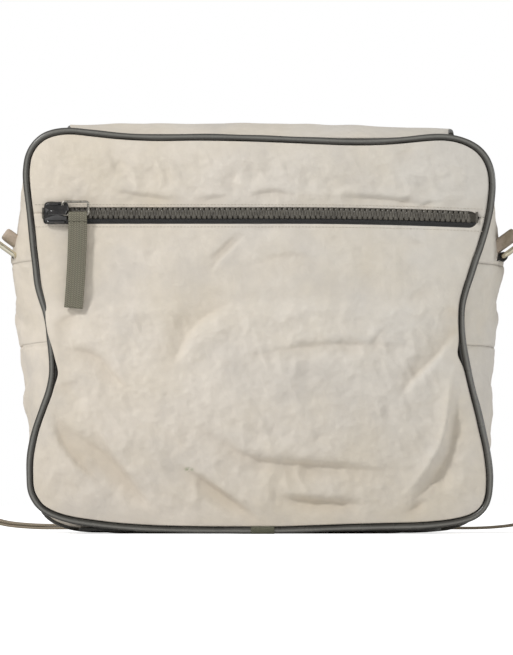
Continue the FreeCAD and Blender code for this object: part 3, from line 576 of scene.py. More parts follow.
# %% [markdown]
# ## The strap's layers
# Three flat bands make the strap: one from each ring to the middle of the back, and the layer that runs back to
# the adjuster.

# %% The strap's layers
for name, line, node_name, ring_body in (
    ("strap_right", right_line, "strap_main_right", "ring_right"),
    ("strap_left", left_line, "strap_main_left", "ring_left"),
    ("strap_doubled", return_line, "strap_return", "ring_left"),
):
    piece = band(name, line, (0, 1, 0), STRAP_WIDTH, STRAP_CLOTH, strap_weave, body=None)
    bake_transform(piece)
    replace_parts(piece, node_name)

# %% [markdown]
# ## Outlines of the bag
# A slumped bag is never quite the same on both sides. The rear piping's line was measured all round, left and
# right apart, and it draws in at the waist where the sides pucker. Two more outlines, one half way through the
# depth and one at the front, carry the side strips. Each is cut at its four corners, so that a point on one
# outline has its partner on the others.

# %% The three outlines
REAR = [(1.5, 2.9), (-19, 2.9), (-42, 3.0), (-65.5, 3.4), (-88.5, 4.2), (-112, 6.0), (-131, 8.3), (-146, 10.8),
        (-158, 14.4),
        (-167.5, 19.5), (-173.4, 26.5), (-176.7, 34.6), (-177.5, 45.4), (-177.3, 57), (-175.6, 68.5),
        (-172.5, 81.6), (-167.1, 97),
        (-162.9, 108.6), (-160.6, 120), (-160.2, 130), (-160.9, 141.7), (-161.9, 151), (-163.2, 162),
        (-165.6, 172.5), (-168.6, 182),
        (-171.3, 192.5), (-172.9, 205), (-174.6, 219), (-175.9, 232.5), (-177.5, 246.4), (-179, 258.7),
        (-180.2, 271), (-180.4, 280.3),
        (-178.8, 291), (-174.4, 299.6), (-167, 306.2), (-157.1, 309.8), (-145.5, 310.8), (-131, 309.4), (-108, 307),
        (-81, 305.7),
        (-46, 306), (-8, 305.3), (31, 303.8), (65, 302.4), (88, 302.4), (108, 303.6), (131, 305.8), (145, 305.8),
        (157, 303),
        (167, 297.6), (174, 290), (178.1, 280.3), (179.3, 269.5), (178.6, 258.7), (177, 247), (174, 234),
        (170.2, 221.8),
        (166.3, 211), (162.5, 198.7), (159, 188), (156.4, 177), (155.7, 166.3), (156, 155.5), (157, 144.8),
        (158.8, 134), (161.3, 121.7),
        (164.4, 108.6), (168, 94.7), (171.3, 80), (174.4, 66), (176.3, 53), (177, 41.6), (176, 29), (172.3, 20),
        (165.5, 14), (156, 10.4),
        (143, 8), (123, 6.2), (100, 5.6), (69, 4.8), (38, 3.7), (17, 3.0)]
BELLY = [(0, 0), (-50, 0), (-92, 0.1), (-118, 0.8), (-143, 6.5), (-158, 13.5), (-168, 24), (-174.5, 39),
         (-178.5, 60), (-181.5, 88), (-184.5, 119),
         (-187, 146), (-190, 166), (-193, 188), (-193.5, 213), (-190.5, 236), (-186, 258), (-181.5, 280),
         (-174, 296), (-160, 306),
         (-140, 310), (-100, 311), (0, 311), (100, 309), (140, 306), (158, 302), (171, 293), (179, 278), (183, 254),
         (187, 228), (188.5, 209),
         (187.5, 188), (184.5, 165), (182, 142), (182, 103), (180, 72), (176.5, 44), (170, 25), (158, 12.5),
         (140, 5.5), (112, 0.8), (88, 0.1), (50, 0)]
FRONT_HALF = [(0, 2.9), (-80, 2.9), (-136, 3.4), (-158, 8), (-170, 17.5), (-175.6, 34), (-175, 58), (-171.5, 92),
              (-169, 124), (-168.6, 150),
              (-170.5, 182), (-174.5, 215), (-178.5, 246), (-179.7, 268), (-175.5, 287), (-165, 298.5),
              (-148, 302.6), (-110, 303.2), (-50, 303.2)]
FRONT = FRONT_HALF + [(0, 303.2)] + [(-x, z) for x, z in FRONT_HALF[:0:-1]]
RUNS = (110, 200, 220, 200, 110)
SEAM_DEPTH, CLOTH_DEPTH, GUSSET_EDGE = 46.0, 45.9, 43.9
UPPER_SEAM, LOWER_SEAM = 208.7, 145.0


def matched(outline):
    """The outline as points whose counts between the middle of the base and the four corners are fixed."""
    line = smooth_line(outline, 1600, closed=True)
    x, z = line[:, 0], line[:, 1] - MIDDLE_LEVEL
    cuts = [0, *(int(np.argmax(value)) for value in (-x - z, -x + z, x + z, x - z)), len(line)]
    line = np.vstack([line, line[:1]])
    parts = [even(line[start:end + 1], count + 1)[:-1] for start, end, count in zip(cuts[:-1], cuts[1:], RUNS)]
    return np.vstack(parts)


rear_outline, belly_outline, front_outline = matched(REAR), matched(BELLY), matched(FRONT)
CORNERS = np.cumsum(RUNS)[:-1]


def inset(outline, amount):
    """The outline moved inwards, square to itself, by an amount that may change along it."""
    way = unit(np.roll(outline, -3, 0) - np.roll(outline, 3, 0))
    inwards = np.stack([way[:, 1], -way[:, 0]], 1)
    return outline + inwards * np.broadcast_to(np.asarray(amount, float), (len(outline),))[:, None]


def at_depth(outline, y):
    """An outline's points in space, at one depth."""
    return np.stack([outline[:, 0], np.broadcast_to(y, (len(outline),)), outline[:, 1]], 1)


girth = length_of(np.vstack([rear_outline, rear_outline[:1]]))
print(f"rear outline: {girth:.0f} mm round, {np.ptp(rear_outline[:, 0]):.0f} mm wide")

# %% [markdown]
# ## Piping
# Piping is a cord wrapped in a strip of coated cloth, sewn into the seam. The strip's flat part goes into the
# seam too, and is left showing beside the cord as a dark sliver, which also stands in for the shade in the gap
# there. A short ribbed tape covers the place where the piping's ends meet, in the middle of the base.

# %% Piping
PIPING = 2.55
for name, outline, y in (("back_piping", rear_outline, -SEAM_DEPTH), ("front_piping", front_outline, SEAM_DEPTH)):
    line = even(at_depth(outline, y), 900, closed=True)
    place = np.arange(len(line))
    sway = 0.12 * np.sin(place * 0.21) + 0.10 * np.sin(place * 0.077 + 1.0)
    tucked = 0.30 * np.exp(-((line[:, 2] - 170) / 15) ** 2) * (line[:, 0] > 0) * (y < 0)
    # The cord's painted highlight is turned to face out of each face.
    piece = tube(f"{name}_cord", line, PIPING * (1 - tucked) + sway, (0, -np.sign(y), 0), piping_painted_highlight,
                 closed=True, sides=20)
    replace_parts(piece, name)
    # The flange shows as a dark sliver beside the cord, standing in for the shade in the gap there.
    flange = np.stack([at_depth(inset(outline, reach), y - np.sign(y) * deep)
                       for reach, deep in ((1.0, 0.4), (3.5, 0.8), (6.0, 2.0))], 0)
    skin(f"{name}_flange", flange, piping_vinyl, ring=True, face=(0, y, 0), wall=0.5)

# %% [markdown]
# ## Ribbed covers
# The two ends of a piping are butted together and covered with a short ribbed tape, at the middle of the base.
# It is a tube whose radius follows a cosine along it, one wave to a rib, pressed flat against the floor.

# %% Ribbed covers over the piping's joint
for name, side in (("back_piping_cover", -1), ("front_piping_cover", 1)):
    middle = 2.0 if side < 0 else 0.0
    along = np.linspace(-9, 9, 55)
    turn = np.linspace(0, 2 * np.pi, 20, endpoint=False)
    radius = 3.35 + 0.16 * np.cos(along * 2 * np.pi / 1.5)
    level = 2.9 + 0.004 * along
    grid = np.stack([np.broadcast_to(along[:, None] + middle, (55, 20)),
                     side * SEAM_DEPTH + radius[:, None] * np.cos(turn),
                     np.maximum(level[:, None] + radius[:, None] * np.sin(turn), 0.05)], -1)
    piece = skin(f"{name}_tape", grid, rib_tape, ring=True, caps=True)
    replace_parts(piece, name)

# %% [markdown]
# ## Folds
# Folds make cloth look like cloth. Each long fold was read as a broken line, with a width and a depth, and adds
# a valley with a raised lip along one side. Crumples that follow no line come from a smooth random sheet, made
# by keeping only some wavelengths of noise. A cloth simulation gives folds too, but not these ones, and the
# rear face is known fold by fold.


# %% Fold tools
def fold(x, z, line, width, depth, lip=0.0):
    """Height of one fold: minus depth times an exponential of the distance over the width, which gives a crisp
    crease, plus a lip that changes sign across the line: the signed distance times a bell curve. Both taper
    towards the ends."""
    p = smooth_line(line, 14)
    runs = np.linalg.norm(np.diff(p, axis=0), axis=1)
    nearest, side, share = np.full(x.shape, 1e9), np.zeros(x.shape), np.zeros(x.shape)
    for start, end, run, before in zip(p[:-1], p[1:], runs, np.cumsum(runs) - runs):
        dx, dz = (end - start) / run
        t = np.clip((x - start[0]) * dx + (z - start[1]) * dz, 0, run)
        off_x, off_z = x - start[0] - t * dx, z - start[1] - t * dz
        gap = np.hypot(off_x, off_z)
        closer = gap < nearest
        nearest = np.where(closer, gap, nearest)
        side = np.where(closer, dx * off_z - dz * off_x, side)
        share = np.where(closer, (before + t) / runs.sum(), share)
    taper = ramp(0, 0.42, share) * ramp(0, 0.42, 1 - share)
    core = (np.hypot(nearest, 0.7) - 0.7) / width
    s = np.sign(side) * nearest / width
    return taper * (-depth * np.exp(-1.25 * core) + lip * s * np.exp(-(nearest / width / 1.6) ** 2))


def crumple_sheet(seed, shortest, longest, size=512.0, count=512):
    """A smooth random sheet, size by size millimetres, with only wavelengths between shortest and longest.
    Noise is turned into waves, the rest of the waves are removed, and it is turned back."""
    noise_field = np.random.default_rng(seed).normal(size=(count, count))
    k = np.fft.fftfreq(count, size / count)
    wave = np.hypot(*np.meshgrid(k, k))
    keep = np.exp(-(wave * shortest / 1.5) ** 2) * (1 - np.exp(-(wave * longest) ** 2))
    sheet = np.fft.ifft2(np.fft.fft2(noise_field) * keep).real
    sheet /= sheet.std()

    def read(x, z):
        step = size / count
        i, j = (x / step) % count, (z / step) % count
        i0, j0 = i.astype(int) % count, j.astype(int) % count
        fi, fj = i - np.floor(i), j - np.floor(j)
        i1, j1 = (i0 + 1) % count, (j0 + 1) % count
        near = sheet[j0, i0] * (1 - fi) + sheet[j0, i1] * fi
        far = sheet[j1, i0] * (1 - fi) + sheet[j1, i1] * fi
        return near * (1 - fj) + far * fj

    return read


broad_crumple = crumple_sheet(4, 38, 110)
fine_crumple = crumple_sheet(9, 9, 30)


def distance_to(outline, x, z, block=6000):
    """The distance of each point from an outline: the nearest of its points is found, and the part of the step
    to it that lies square to the outline is the distance."""
    p = np.stack([x.ravel(), z.ravel()], 1)
    near = outline[::3]
    tangent = unit(np.roll(near, -1, 0) - np.roll(near, 1, 0))
    starts = range(0, len(p), block)
    nearest = np.concatenate([((p[i:i + block, None] - near[None]) ** 2).sum(2).argmin(1) for i in starts])
    step, along = p - near[nearest], tangent[nearest]
    return np.abs(step[:, 0] * along[:, 1] - step[:, 1] * along[:, 0]).reshape(x.shape)


# %% [markdown]
# ## The rear face's folds
# Each entry is one fold of the rear face: its line, its width, its depth and its lip, in millimetres. A negative
# depth is a ridge. The relief adds the roll at the piping, the belly and the crumples to them, and calms the
# cloth beside the zip, where the tape holds it flat. Sculpting could do this, but numbers can be mended one by
# one.

# %% The rear face's folds
ZIP_LEVEL, ZIP_HALF, SLIT_UP, SLIT_DOWN = 247.2, 168.0, 4.4, 8.3
FOLDS = [
    ([(-158, 143), (-129, 138), (-112, 120), (-91, 102)], 5.5, 1.6, 0.9),
    ([(-160, 104), (-154, 77), (-137, 53), (-114, 32)], 5.0, 2.4, -1.2),
    ([(-148, 82), (-125, 63), (-104, 43), (-77, 10)], 5.0, 2.6, 1.6),
    ([(-135, 90), (-114, 59), (-95, 36)], 4.5, 1.3, 1.2),
    ([(-67, 55), (-42, 40), (-22, 25), (10, 3)], 4.2, 2.8, 1.8),
    ([(-70, 94), (-35, 74), (-4, 57), (42, 53), (86, 49), (130, 48)], 5.5, 1.7, 1.3),
    ([(155, 162), (135, 137), (117, 119), (104, 100)], 4.6, 2.0, 1.2),
    ([(157, 158), (146, 111), (137, 66), (100, 16)], 7.5, -2.8, 0.0),
    ([(157, 132), (151, 92), (142, 53), (106, 12)], 5.5, 2.2, -0.8), ([(5, 30), (42, 25), (88, 22)], 4.5, 2.4, 1.8),
    ([(108, 13), (131, 27)], 4.0, 1.6, 0.8), ([(-30, 131), (25, 143), (68, 146), (136, 143)], 4.5, 0.9, 0.8),
    ([(85, 144), (97, 160)], 3.0, 0.8, 0.5),
    ([(-9, 233), (-34, 209), (-39, 197)], 3.0, 1.0, 0.7), ([(-15, 234), (-41, 208)], 2.6, 0.7, -0.5),
    ([(-16, 204), (25, 215), (50, 204)], 6.0, 0.9, 0.6),
    ([(-6, 186), (-45, 166), (-60, 146), (-75, 113)], 7.5, 1.6, 1.0),
    ([(-118, 265), (-86, 259.5), (-55, 256.5)], 3.2, 0.9, 0.7), ([(-53, 257), (-20, 260)], 3.0, 0.6, 0.5),
    ([(-12, 258), (8, 263.5), (31, 259)], 3.2, 0.8, 0.7),
    ([(55, 260), (94, 258), (119, 254.5), (139, 250)], 2.8, 1.1, 0.8), ([(100, 288), (122, 301)], 4.5, 0.9, 0.5),
    ([(104, 254), (119, 259.5)], 2.2, 0.8, 0.6), ([(121, 251), (136, 257)], 2.2, 0.8, 0.6),
    ([(100, 238), (119, 215), (145, 194), (160, 188)], 6.5, -1.5, 0.8),
    ([(112, 229), (134, 218)], 3.5, 0.9, 0.5), ([(112, 178), (136, 193)], 5.0, 1.1, 0.6),
    ([(-18, 284), (-22, 258)], 4.5, 0.6, 0.4),
    ([(140, 176), (158, 168)], 3.5, 1.4, 0.7), ([(141, 150), (158, 158)], 3.2, 1.5, -0.7),
    ([(-163, 158), (-140, 170)], 5.0, 1.2, 0.6), ([(-165, 112), (-140, 116)], 3.5, 1.0, 0.6),
]
DROOP, DROOP_FROM, DROOP_OVER = 3.2, 20.0, 145.0
print(len(FOLDS), "folds on the rear face")


def zip_line(x):
    """The level of the zip's middle: straight, then drooping with the square of the distance at the right."""
    return ZIP_LEVEL - DROOP * (np.maximum(x - DROOP_FROM, 0) / DROOP_OVER) ** 2


def rear_folds(x, z):
    """The sum of all the folds."""
    return sum(fold(x, z, *values) for values in FOLDS)


def rear_relief(x, z, edge):
    """How far the rear cloth stands out from the seam's plane: it rolls up from the piping, bellies out in the
    lower half, lies flat along the zip and under its puller, and carries the folds and crumples. The soft plus, the
    log of one plus an exponential, keeps every valley in front of the seam."""
    roll = 1 - np.exp(-edge / 9.0)
    zip_gap = z - zip_line(x)
    belly = (7.0 * np.exp(-(x / 120) ** 2 - ((z - 92) / 62) ** 2)
             + 2.2 * np.exp(-(x / 150) ** 2 - ((z - 292) / 22) ** 2))
    folds = rear_folds(x, z)
    sharp = np.abs(broad_crumple(0.8 * z + 90, 1.3 * x + 0.5 * z + 40))
    crumples = 0.30 * broad_crumple(x, z) + 0.15 * fine_crumple(x, z) - 0.75 * sharp
    calm = 1 - 0.85 * np.exp(-(zip_gap / 9.0) ** 2)
    hang = ramp(168, 182, z) * ramp(262, 250, z)
    free = 2.2 * roll + (belly + 2.1 * folds + crumples) * ramp(0, 26, edge)
    free = free * calm
    overhang = 2.9 * np.exp(-((z - 156) / 17) ** 2) * np.exp(-(edge / 9) ** 2) * (x < 0)
    held = 1.7 * np.tanh(free / 1.7)
    stands = 1.3 + overhang + free * (1 - hang) + (held - 1.0) * hang
    return 0.3 + 0.5 * np.logaddexp(0, (stands - 0.3) / 0.5)


# %% [markdown]
# ## The rear face
# The face is two panels, above and below the zip, that meet beyond the zip's ends. Each panel is a Coons patch:
# its four edges are given, and the inside is the two straight blends of opposite edges less the blend of the
# corners. Next to the zip the edges leave a slit, round at the right end.


# %% Patches between four edges
def coons(left, right, foot, head):
    """A grid between four edges. left and right run upwards, foot and head run to the right. Every point is
    the side blend plus the level blend minus the blend of the four corners."""
    u = np.linspace(0, 1, len(foot))[None, :, None]
    v = np.linspace(0, 1, len(left))[:, None, None]
    sides = left[:, None] * (1 - u) + right[:, None] * u
    levels = foot[None] * (1 - v) + head[None] * v
    corners = (foot[0] * (1 - u) + foot[-1] * u) * (1 - v) + (head[0] * (1 - u) + head[-1] * u) * v
    return sides + levels - corners


def slit_edge(x, height):
    """How far a panel's edge stands from the zip's middle line: its height inside the slit, and nothing beyond
    the ends, with a round end at the right."""
    left = np.clip((x + ZIP_HALF) / 1.5, 0, 1)
    bend = np.clip((x - (ZIP_HALF - 7.0)) / 7.2, 0, 1)
    return height * left * np.sqrt(1 - bend**2)


pinch_left = np.exp(-((rear_outline[:, 1] - 160) / 19) ** 2) * (rear_outline[:, 0] < 0)
pinch_open = np.exp(-((rear_outline[:, 1] - 124) / 7.5) ** 2) * (rear_outline[:, 0] < 0)
pinch_right = np.exp(-((rear_outline[:, 1] - 139) / 7.5) ** 2) * (rear_outline[:, 0] > 0)
panel_edge = inset(rear_outline, 3.0 - 4.4 * pinch_left + 1.8 * pinch_open + 2.6 * pinch_right)
side_left = int(np.argmin(np.abs(panel_edge[:, 1] - zip_line(-176.0)) + (panel_edge[:, 0] > 0) * 999))
side_right = int(np.argmin(np.abs(panel_edge[:, 1] - zip_line(176.0)) + (panel_edge[:, 0] < 0) * 999))
c_foot_left, c_head_left, c_head_right, c_foot_right = CORNERS


def opened(grid, height):
    """The grid with its points near the zip moved away from it."""
    gap = np.abs(grid[..., 1] - zip_line(grid[..., 0]))
    moved = grid.copy()
    moved[..., 1] += slit_edge(grid[..., 0], height) * np.exp(-gap / 14.0)
    return moved


def rear_patch(rows, columns, upper):
    """The upper or lower rear panel as a flat grid of x and z. The slit is opened afterwards: each point moves
    away from the zip by the slit's half height times an exponential of its distance."""
    x = np.linspace(panel_edge[side_left, 0], panel_edge[side_right, 0], columns)
    seam = np.stack([x, zip_line(x)], 1)
    seam[0], seam[-1] = panel_edge[side_left], panel_edge[side_right]
    if upper:
        left = panel_edge[side_left:c_head_left + 1]
        head = panel_edge[c_head_left:c_head_right + 1]
        right = panel_edge[c_head_right:side_right + 1][::-1]
        grid = coons(even(left, rows), even(right, rows), seam, even(head, columns))
        return opened(grid, SLIT_UP)
    left = panel_edge[c_foot_left:side_left + 1]
    right = panel_edge[side_right:c_foot_right + 1][::-1]
    foot = np.vstack([panel_edge[c_foot_right:], panel_edge[:c_foot_left + 1]])[::-1]
    grid = coons(even(left, rows), even(right, rows), even(foot, columns), seam)
    return opened(grid, -SLIT_DOWN)


# %% [markdown]
# ## The rear panels
# Each panel is its flat patch pushed out by the relief, with a fine ditch where the two meet beyond the zip. The
# depth of the folds is also kept as an attribute, which darkens the colour in the fold valleys: a brownish stain
# and painted shade.

# %% The rear panels
for name, rows, upper, nodes in (("rear_cloth_upper", 56, True, ("back_panel_upper",)),
                                 ("rear_cloth_lower", 200, False,
                                  ("back_panel_lower", "zip_facing_left", "zip_facing_right"))):
    flat_grid = rear_patch(rows, 270, upper)
    x, z = flat_grid[..., 0], flat_grid[..., 1]
    edge = distance_to(rear_outline, x, z)
    seam_ditch = 0.6 * np.exp(-((z - zip_line(x)) / 0.9) ** 2) * ramp(166, 169, np.abs(x))
    y = -CLOTH_DEPTH - rear_relief(x, z, edge) + seam_ditch
    piece = skin(name, np.stack([x, y, z], -1), shell_cloth, face=(0, -1, 0), flat=flat_grid,
                 wall=1.0)
    # The fold valleys' depth, which darkens the colour there: a brownish stain and painted shade.
    fold_stain_and_shade = piece.data.attributes.new("fold_stain_and_shade", "FLOAT", "POINT")
    fold_stain_and_shade.data.foreach_set("value", np.clip(-rear_folds(x, z) / 2.4, 0, 1).ravel().astype(np.float32))
    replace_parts(piece, *nodes)
    print(name, f"stands {-y.min() - CLOTH_DEPTH:.1f} mm out at most")

# %% [markdown]
# ## The zip
# The zip is chunky and moulded: each tooth is a small plastic bar, clamped to the tape at its foot and narrow
# at its head, which sits between two teeth of the other row. The tape is a woven strip behind them, with a low
# bead along the edge that carries the teeth. A flat strip would do, but light catches the bead.

# %% Tape
tape_x = np.linspace(-167.8, 167.8, 200)
for name, low, high in (("zip_tape_upper", 4.0, 18.0), ("zip_tape_lower", -18.0, -4.0)):
    across = np.linspace(low, high, 13)
    x, off = np.meshgrid(tape_x, across)
    z = zip_line(x) + off
    y = -45.0 + 0.08 * np.sin(x * 0.9) * np.cos(off * 0.8) - 0.5 * np.exp(-((np.abs(off) - 4.4) / 0.9) ** 2)
    piece = skin(f"{name}_cloth", np.stack([x, y, z], -1), tape_cloth, face=(0, -1, 0),
                 flat=np.stack([x, z], -1), wall=0.5)
    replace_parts(piece, name)

# %% [markdown]
# ## Teeth
# One tooth is a ring of points carried from foot to head, and all the teeth of a row are copies in one mesh,
# worked out as one array and turned to follow the zip's droop. Blender's Array modifier could repeat them along
# a curve, but the two rows have to keep their half step exactly.

# %% Teeth
PITCH, CHAIN_HALF, TOOTH_LENGTH, TEETH, ZIP_START = 4.0, 4.2, 6.7, 81, -165.0


def one_tooth():
    """Rings of eight points from the foot on the tape to the head. Columns give half width and the outer and
    inner depths, so the outer side is domed and the corners are rounded off."""
    share = np.array([0.0, 0.03, 0.25, 0.42, 0.62, 0.80, 0.93, 1.0])
    half = np.array([1.20, 1.62, 1.62, 1.22, 0.98, 1.06, 0.95, 0.55])
    outer = np.array([-47.2, -47.9, -48.55, -48.6, -48.55, -48.5, -48.3, -47.7])
    inner = np.full(8, -45.2)
    turn = np.radians([45, 75, 105, 135, 225, 255, 285, 315])
    squash_x = np.clip(np.cos(turn) * 1.35, -1, 1)
    squash_y = np.clip(np.sin(turn) * 1.15, -1, 1)
    x = half[:, None] * squash_x
    y = (outer + inner)[:, None] / 2 - (inner - outer)[:, None] / 2 * squash_y
    z = np.broadcast_to((CHAIN_HALF - share * TOOTH_LENGTH)[:, None], x.shape)
    return np.stack([x, y, z], -1)


tooth = one_tooth()
rows, columns = tooth.shape[:2]
index = np.arange(rows * columns).reshape(rows, columns)
index = np.hstack([index, index[:, :1]])
quads = quads_of(index).reshape(-1, 4)
for name, side, shift in (("zip_teeth_upper", 1, 0.0), ("zip_teeth_lower", -1, 0.5)):
    places = ZIP_START + PITCH + (np.arange(TEETH) + shift) * PITCH
    slope = np.arctan((zip_line(places + 1) - zip_line(places - 1)) / 2)
    local = tooth.reshape(-1, 3)
    px, pz = local[:, 0], local[:, 2] * side
    x = places[:, None] + px * np.cos(slope)[:, None] - pz * np.sin(slope)[:, None]
    z = zip_line(places)[:, None] + px * np.sin(slope)[:, None] + pz * np.cos(slope)[:, None]
    y = np.broadcast_to(local[:, 1], x.shape)
    points = np.stack([x, y, z], -1).reshape(-1, 3)
    step = (np.arange(TEETH) * len(local))[:, None, None]
    faces = (quads[None] + step).reshape(-1, 4)
    ends = np.concatenate([index[0, :-1][::-1][None] + step[:, 0], index[-1, :-1][None] + step[:, 0]])
    if side > 0:
        faces, ends = faces[:, ::-1], ends[:, ::-1]
    mesh = bpy.data.meshes.new(name + "_moulded")
    mesh.from_pydata((points * MM).tolist(), [], faces.tolist() + ends.tolist())
    mesh.polygons.foreach_set("use_smooth", [True] * len(faces) + [False] * len(ends))
    mesh.materials.append(tooth_plastic)
    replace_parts(placed(name + "_moulded", mesh, "bag"), name)
print("teeth:", 2 * TEETH, "faces in each:", len(quads) + 2)

# %% [markdown]
# ## Stops
# A stop at each end keeps the slider on the zip. The CAD's own pieces are rounded off, and the lowest one is
# moved down with the zip's droop, in its mesh, because a piece's object stays at the origin.

# %% Stops
softened("zip_top_stops", 0.35, tooth_plastic, "bag")
lowest_stop = softened("zip_bottom_stop", 0.35, tooth_plastic, "bag")
points = np.empty(3 * len(lowest_stop.data.vertices))
lowest_stop.data.vertices.foreach_get("co", points)
points[2::3] += (zip_line(167.0) - ZIP_LEVEL) * MM
lowest_stop.data.vertices.foreach_set("co", points)

# %% [markdown]
# ## Slider
# The slider is a black lacquered casting with a bridge on its back. The CAD's body is rounded off, and a domed
# crown, an arched bridge and two side wings go on top, because a casting has no flat faces.

# %% Slider
softened("slider_body", 0.55, slider_black, "zip_slider")
slider_low, slider_high = (np.array(corner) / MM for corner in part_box("slider_body"))
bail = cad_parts["slider_bail"]
bail.data.materials.clear()
bail.data.materials.append(wire_metal)


def pebble(name, outline, low, high, dome, material, body):
    """A flat plate with a domed top and round edges: rings of its outline, each with its own share of the
    width and its own depth, from the middle of the top round the edge to the middle of the back."""
    share = np.array([0.04, 0.3, 0.6, 0.85, 0.95, 1.0, 1.0, 0.95, 0.6, 0.04])
    depth = np.array([high - dome, high - dome * 0.93, high - dome * 0.7, high - dome * 0.3, high + 0.1,
                      high + 0.45, low - 0.4, low, low, low])
    middle = outline.mean(0)
    flat = middle + share[:, None, None] * (outline - middle)
    grid = np.stack([flat[..., 0], np.broadcast_to(depth[:, None], flat.shape[:2]), flat[..., 1]], -1)
    return skin(name, grid, material, body, ring=True, caps=True)


left, right = slider_low[0], slider_high[0]
crown = smooth_line([
    (left - 0.2, 252.0), (left + 2.0, 255.0), (left + 6.0, 256.0), (right - 4.0, 254.6), (right + 0.1, 252.4),
    (right + 0.2, ZIP_LEVEL), (right + 0.1, 242.0), (right - 4.0, 239.8), (left + 6.0, 238.4),
    (left + 2.0, 239.4), (left - 0.2, 242.4), (left + 0.9, ZIP_LEVEL),
], 48, closed=True)
pebble("slider_crown", crown, -49.2, -50.7, 1.1, slider_black, "zip_slider")
arch_line = smooth_line([
    (left + 2.6, -50.0, ZIP_LEVEL), (left + 3.6, -52.2, ZIP_LEVEL), (left + 7.5, -53.8, ZIP_LEVEL),
    (right - 4.4, -54.0, ZIP_LEVEL), (right - 1.6, -53.1, ZIP_LEVEL), (right - 0.6, -50.4, ZIP_LEVEL),
], 40)
band("slider_bridge_arch", arch_line, (0, 0, 1), 3.6, 0.9, slider_black, "zip_slider")
for wing, level in (("upper", 254.2), ("lower", 240.4)):
    wing_line = smooth_line([(left + 2.0, -50.0, level), (left + 4.0, -51.0, level), (right - 5.0, -51.0, level),
                             (right - 2.6, -50.0, level)], 24)
    tube(f"slider_wing_{wing}", wing_line, 1.15, (0, 0, 1), slider_black, "zip_slider", sides=12)

# %% [markdown]
# ## Bail and webbing puller
# A wire bail turns in the bridge, and a folded piece of coarse webbing hangs from the bail. The webbing is one
# strip: up from its cut end, round the wire and down again, so it is a flat section carried along that line. The
# strap's sewn ends are folded round their rings by the same helper.


# %% Bail and webbing puller
def folded(name, bar, side, tail, width_way, width, cloth, hole, length, sway, material, body):
    """A strip folded round a bar. Its line runs up one leg, round the bar and down the other leg, in the plane
    of the side and tail directions, and sways sideways with the square of the distance along the tail."""
    r, leg = hole + cloth / 2, cloth / 2 + 0.04
    half = [(leg, length), (leg, length * 0.6), (leg, 4.6 * r), (leg * 1.35, 3.2 * r),
            (r * 0.86, 1.3 * r), (r, 0.0), (r * 0.71, -r * 0.71)]
    path = smooth_line(half + [(0, -r)] + [(-a, b) for a, b in half[::-1]], 140)
    line = bar + path[:, :1] * side + path[:, 1:] * tail
    line = line + np.outer(sway * (np.maximum(path[:, 1], 0) / length) ** 2, width_way)
    return band(name, line, width_way, width, cloth, material, body)


puller_low, puller_high = (np.array(corner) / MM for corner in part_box("webbing_puller"))
bar = np.array([(puller_low[0] + puller_high[0]) / 2, -51.95, 245.8])
puller = folded("puller_webbing", bar, np.array([0, 1.0, 0]), np.array([0, 0, -1.0]), np.array([1.0, 0, 0]),
                14.4, 1.25, 1.15, 72.0, -3.2, puller_weave, "webbing_puller")
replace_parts(puller, "webbing_puller")

# %% [markdown]
# ## Side strips
# The strips between the two faces are called gussets. Each is a skin between the rear outline, the belly and
# the front outline: across its width, every point is the parabola through its three partners. Two cross seams
# on each side pucker the cloth, and the mouth is left open at the top.

# %% Gussets
across = np.linspace(0, 1, 41)[None, :, None]
rear_side, front_side = inset(rear_outline, 0.3), inset(front_outline, 0.3)
parabola = (rear_side[:, None] * (2 * across**2 - 3 * across + 1)
            + belly_outline[:, None] * (4 * across - 4 * across**2)
            + front_side[:, None] * (2 * across**2 - across))
gx, gz = parabola[..., 0], parabola[..., 1]
gy = np.broadcast_to(-GUSSET_EDGE + 2 * GUSSET_EDGE * across[..., 0], gx.shape)
gusset = np.stack([gx, gy, gz], -1)
out = unit(np.cross(np.roll(gusset, -2, 0) - np.roll(gusset, 2, 0), np.gradient(gusset, axis=1)))
out = out * np.sign((out * (gusset - gusset.mean((0, 1)))).sum())
belly_closed = np.vstack([belly_outline, belly_outline[:1]])
belly_reach = np.cumsum(np.linalg.norm(np.diff(belly_closed, axis=0), axis=1))
arc = belly_reach[:, None] + gy * 0
held = ramp(0, 0.12, across[..., 0]) * ramp(0, 0.12, 1 - across[..., 0])
off_floor = ramp(2, 22, gz)
relief = (0.55 * broad_crumple(arc * 0.8, gy * 1.1 + 200) + 0.10 * fine_crumple(arc, gy)) * held * off_floor
for seam in (UPPER_SEAM, LOWER_SEAM):
    near = np.exp(-((gz - seam) / 1.1) ** 2)
    pucker = np.exp(-((gz - seam - 3) / 9.0) ** 2) * np.sin(gy * 0.42 + seam)
    relief = relief + (-1.0 * near + 0.55 * pucker * held) * off_floor
GUSSET_FOLDS = [
    ([(196, -40), (176, 10), (160, 38)], 7, 2.0, 1.2), ([(188, 36), (168, -8), (150, -38)], 7, 1.8, -1.0),
    ([(236, -38), (222, 30)], 8, 1.4, 0.8), ([(134, -40), (112, 0), (96, 38)], 8, 1.8, 1.0),
    ([(92, -38), (60, 22)], 9, 1.6, 0.8),
]
for values in GUSSET_FOLDS:
    relief = relief + fold(gz, gy, *values) * held
gusset = gusset + out * relief[..., None]
gusset[..., 2] = np.maximum(gusset[..., 2], 0.02)


def belly_row(level, left):
    """The row at which the belly outline passes a level on one side."""
    wrong = (belly_outline[:, 0] > 0) if left else (belly_outline[:, 0] < 0)
    return int(np.argmin(np.abs(belly_outline[:, 1] - level) + wrong * 999 + (belly_outline[:, 1] > 300) * 999))


def mouth_row(place):
    """The row at which the belly outline passes a place along the top."""
    return int(np.argmin(np.abs(belly_outline[:, 0] - place) + (belly_outline[:, 1] < 250) * 999))


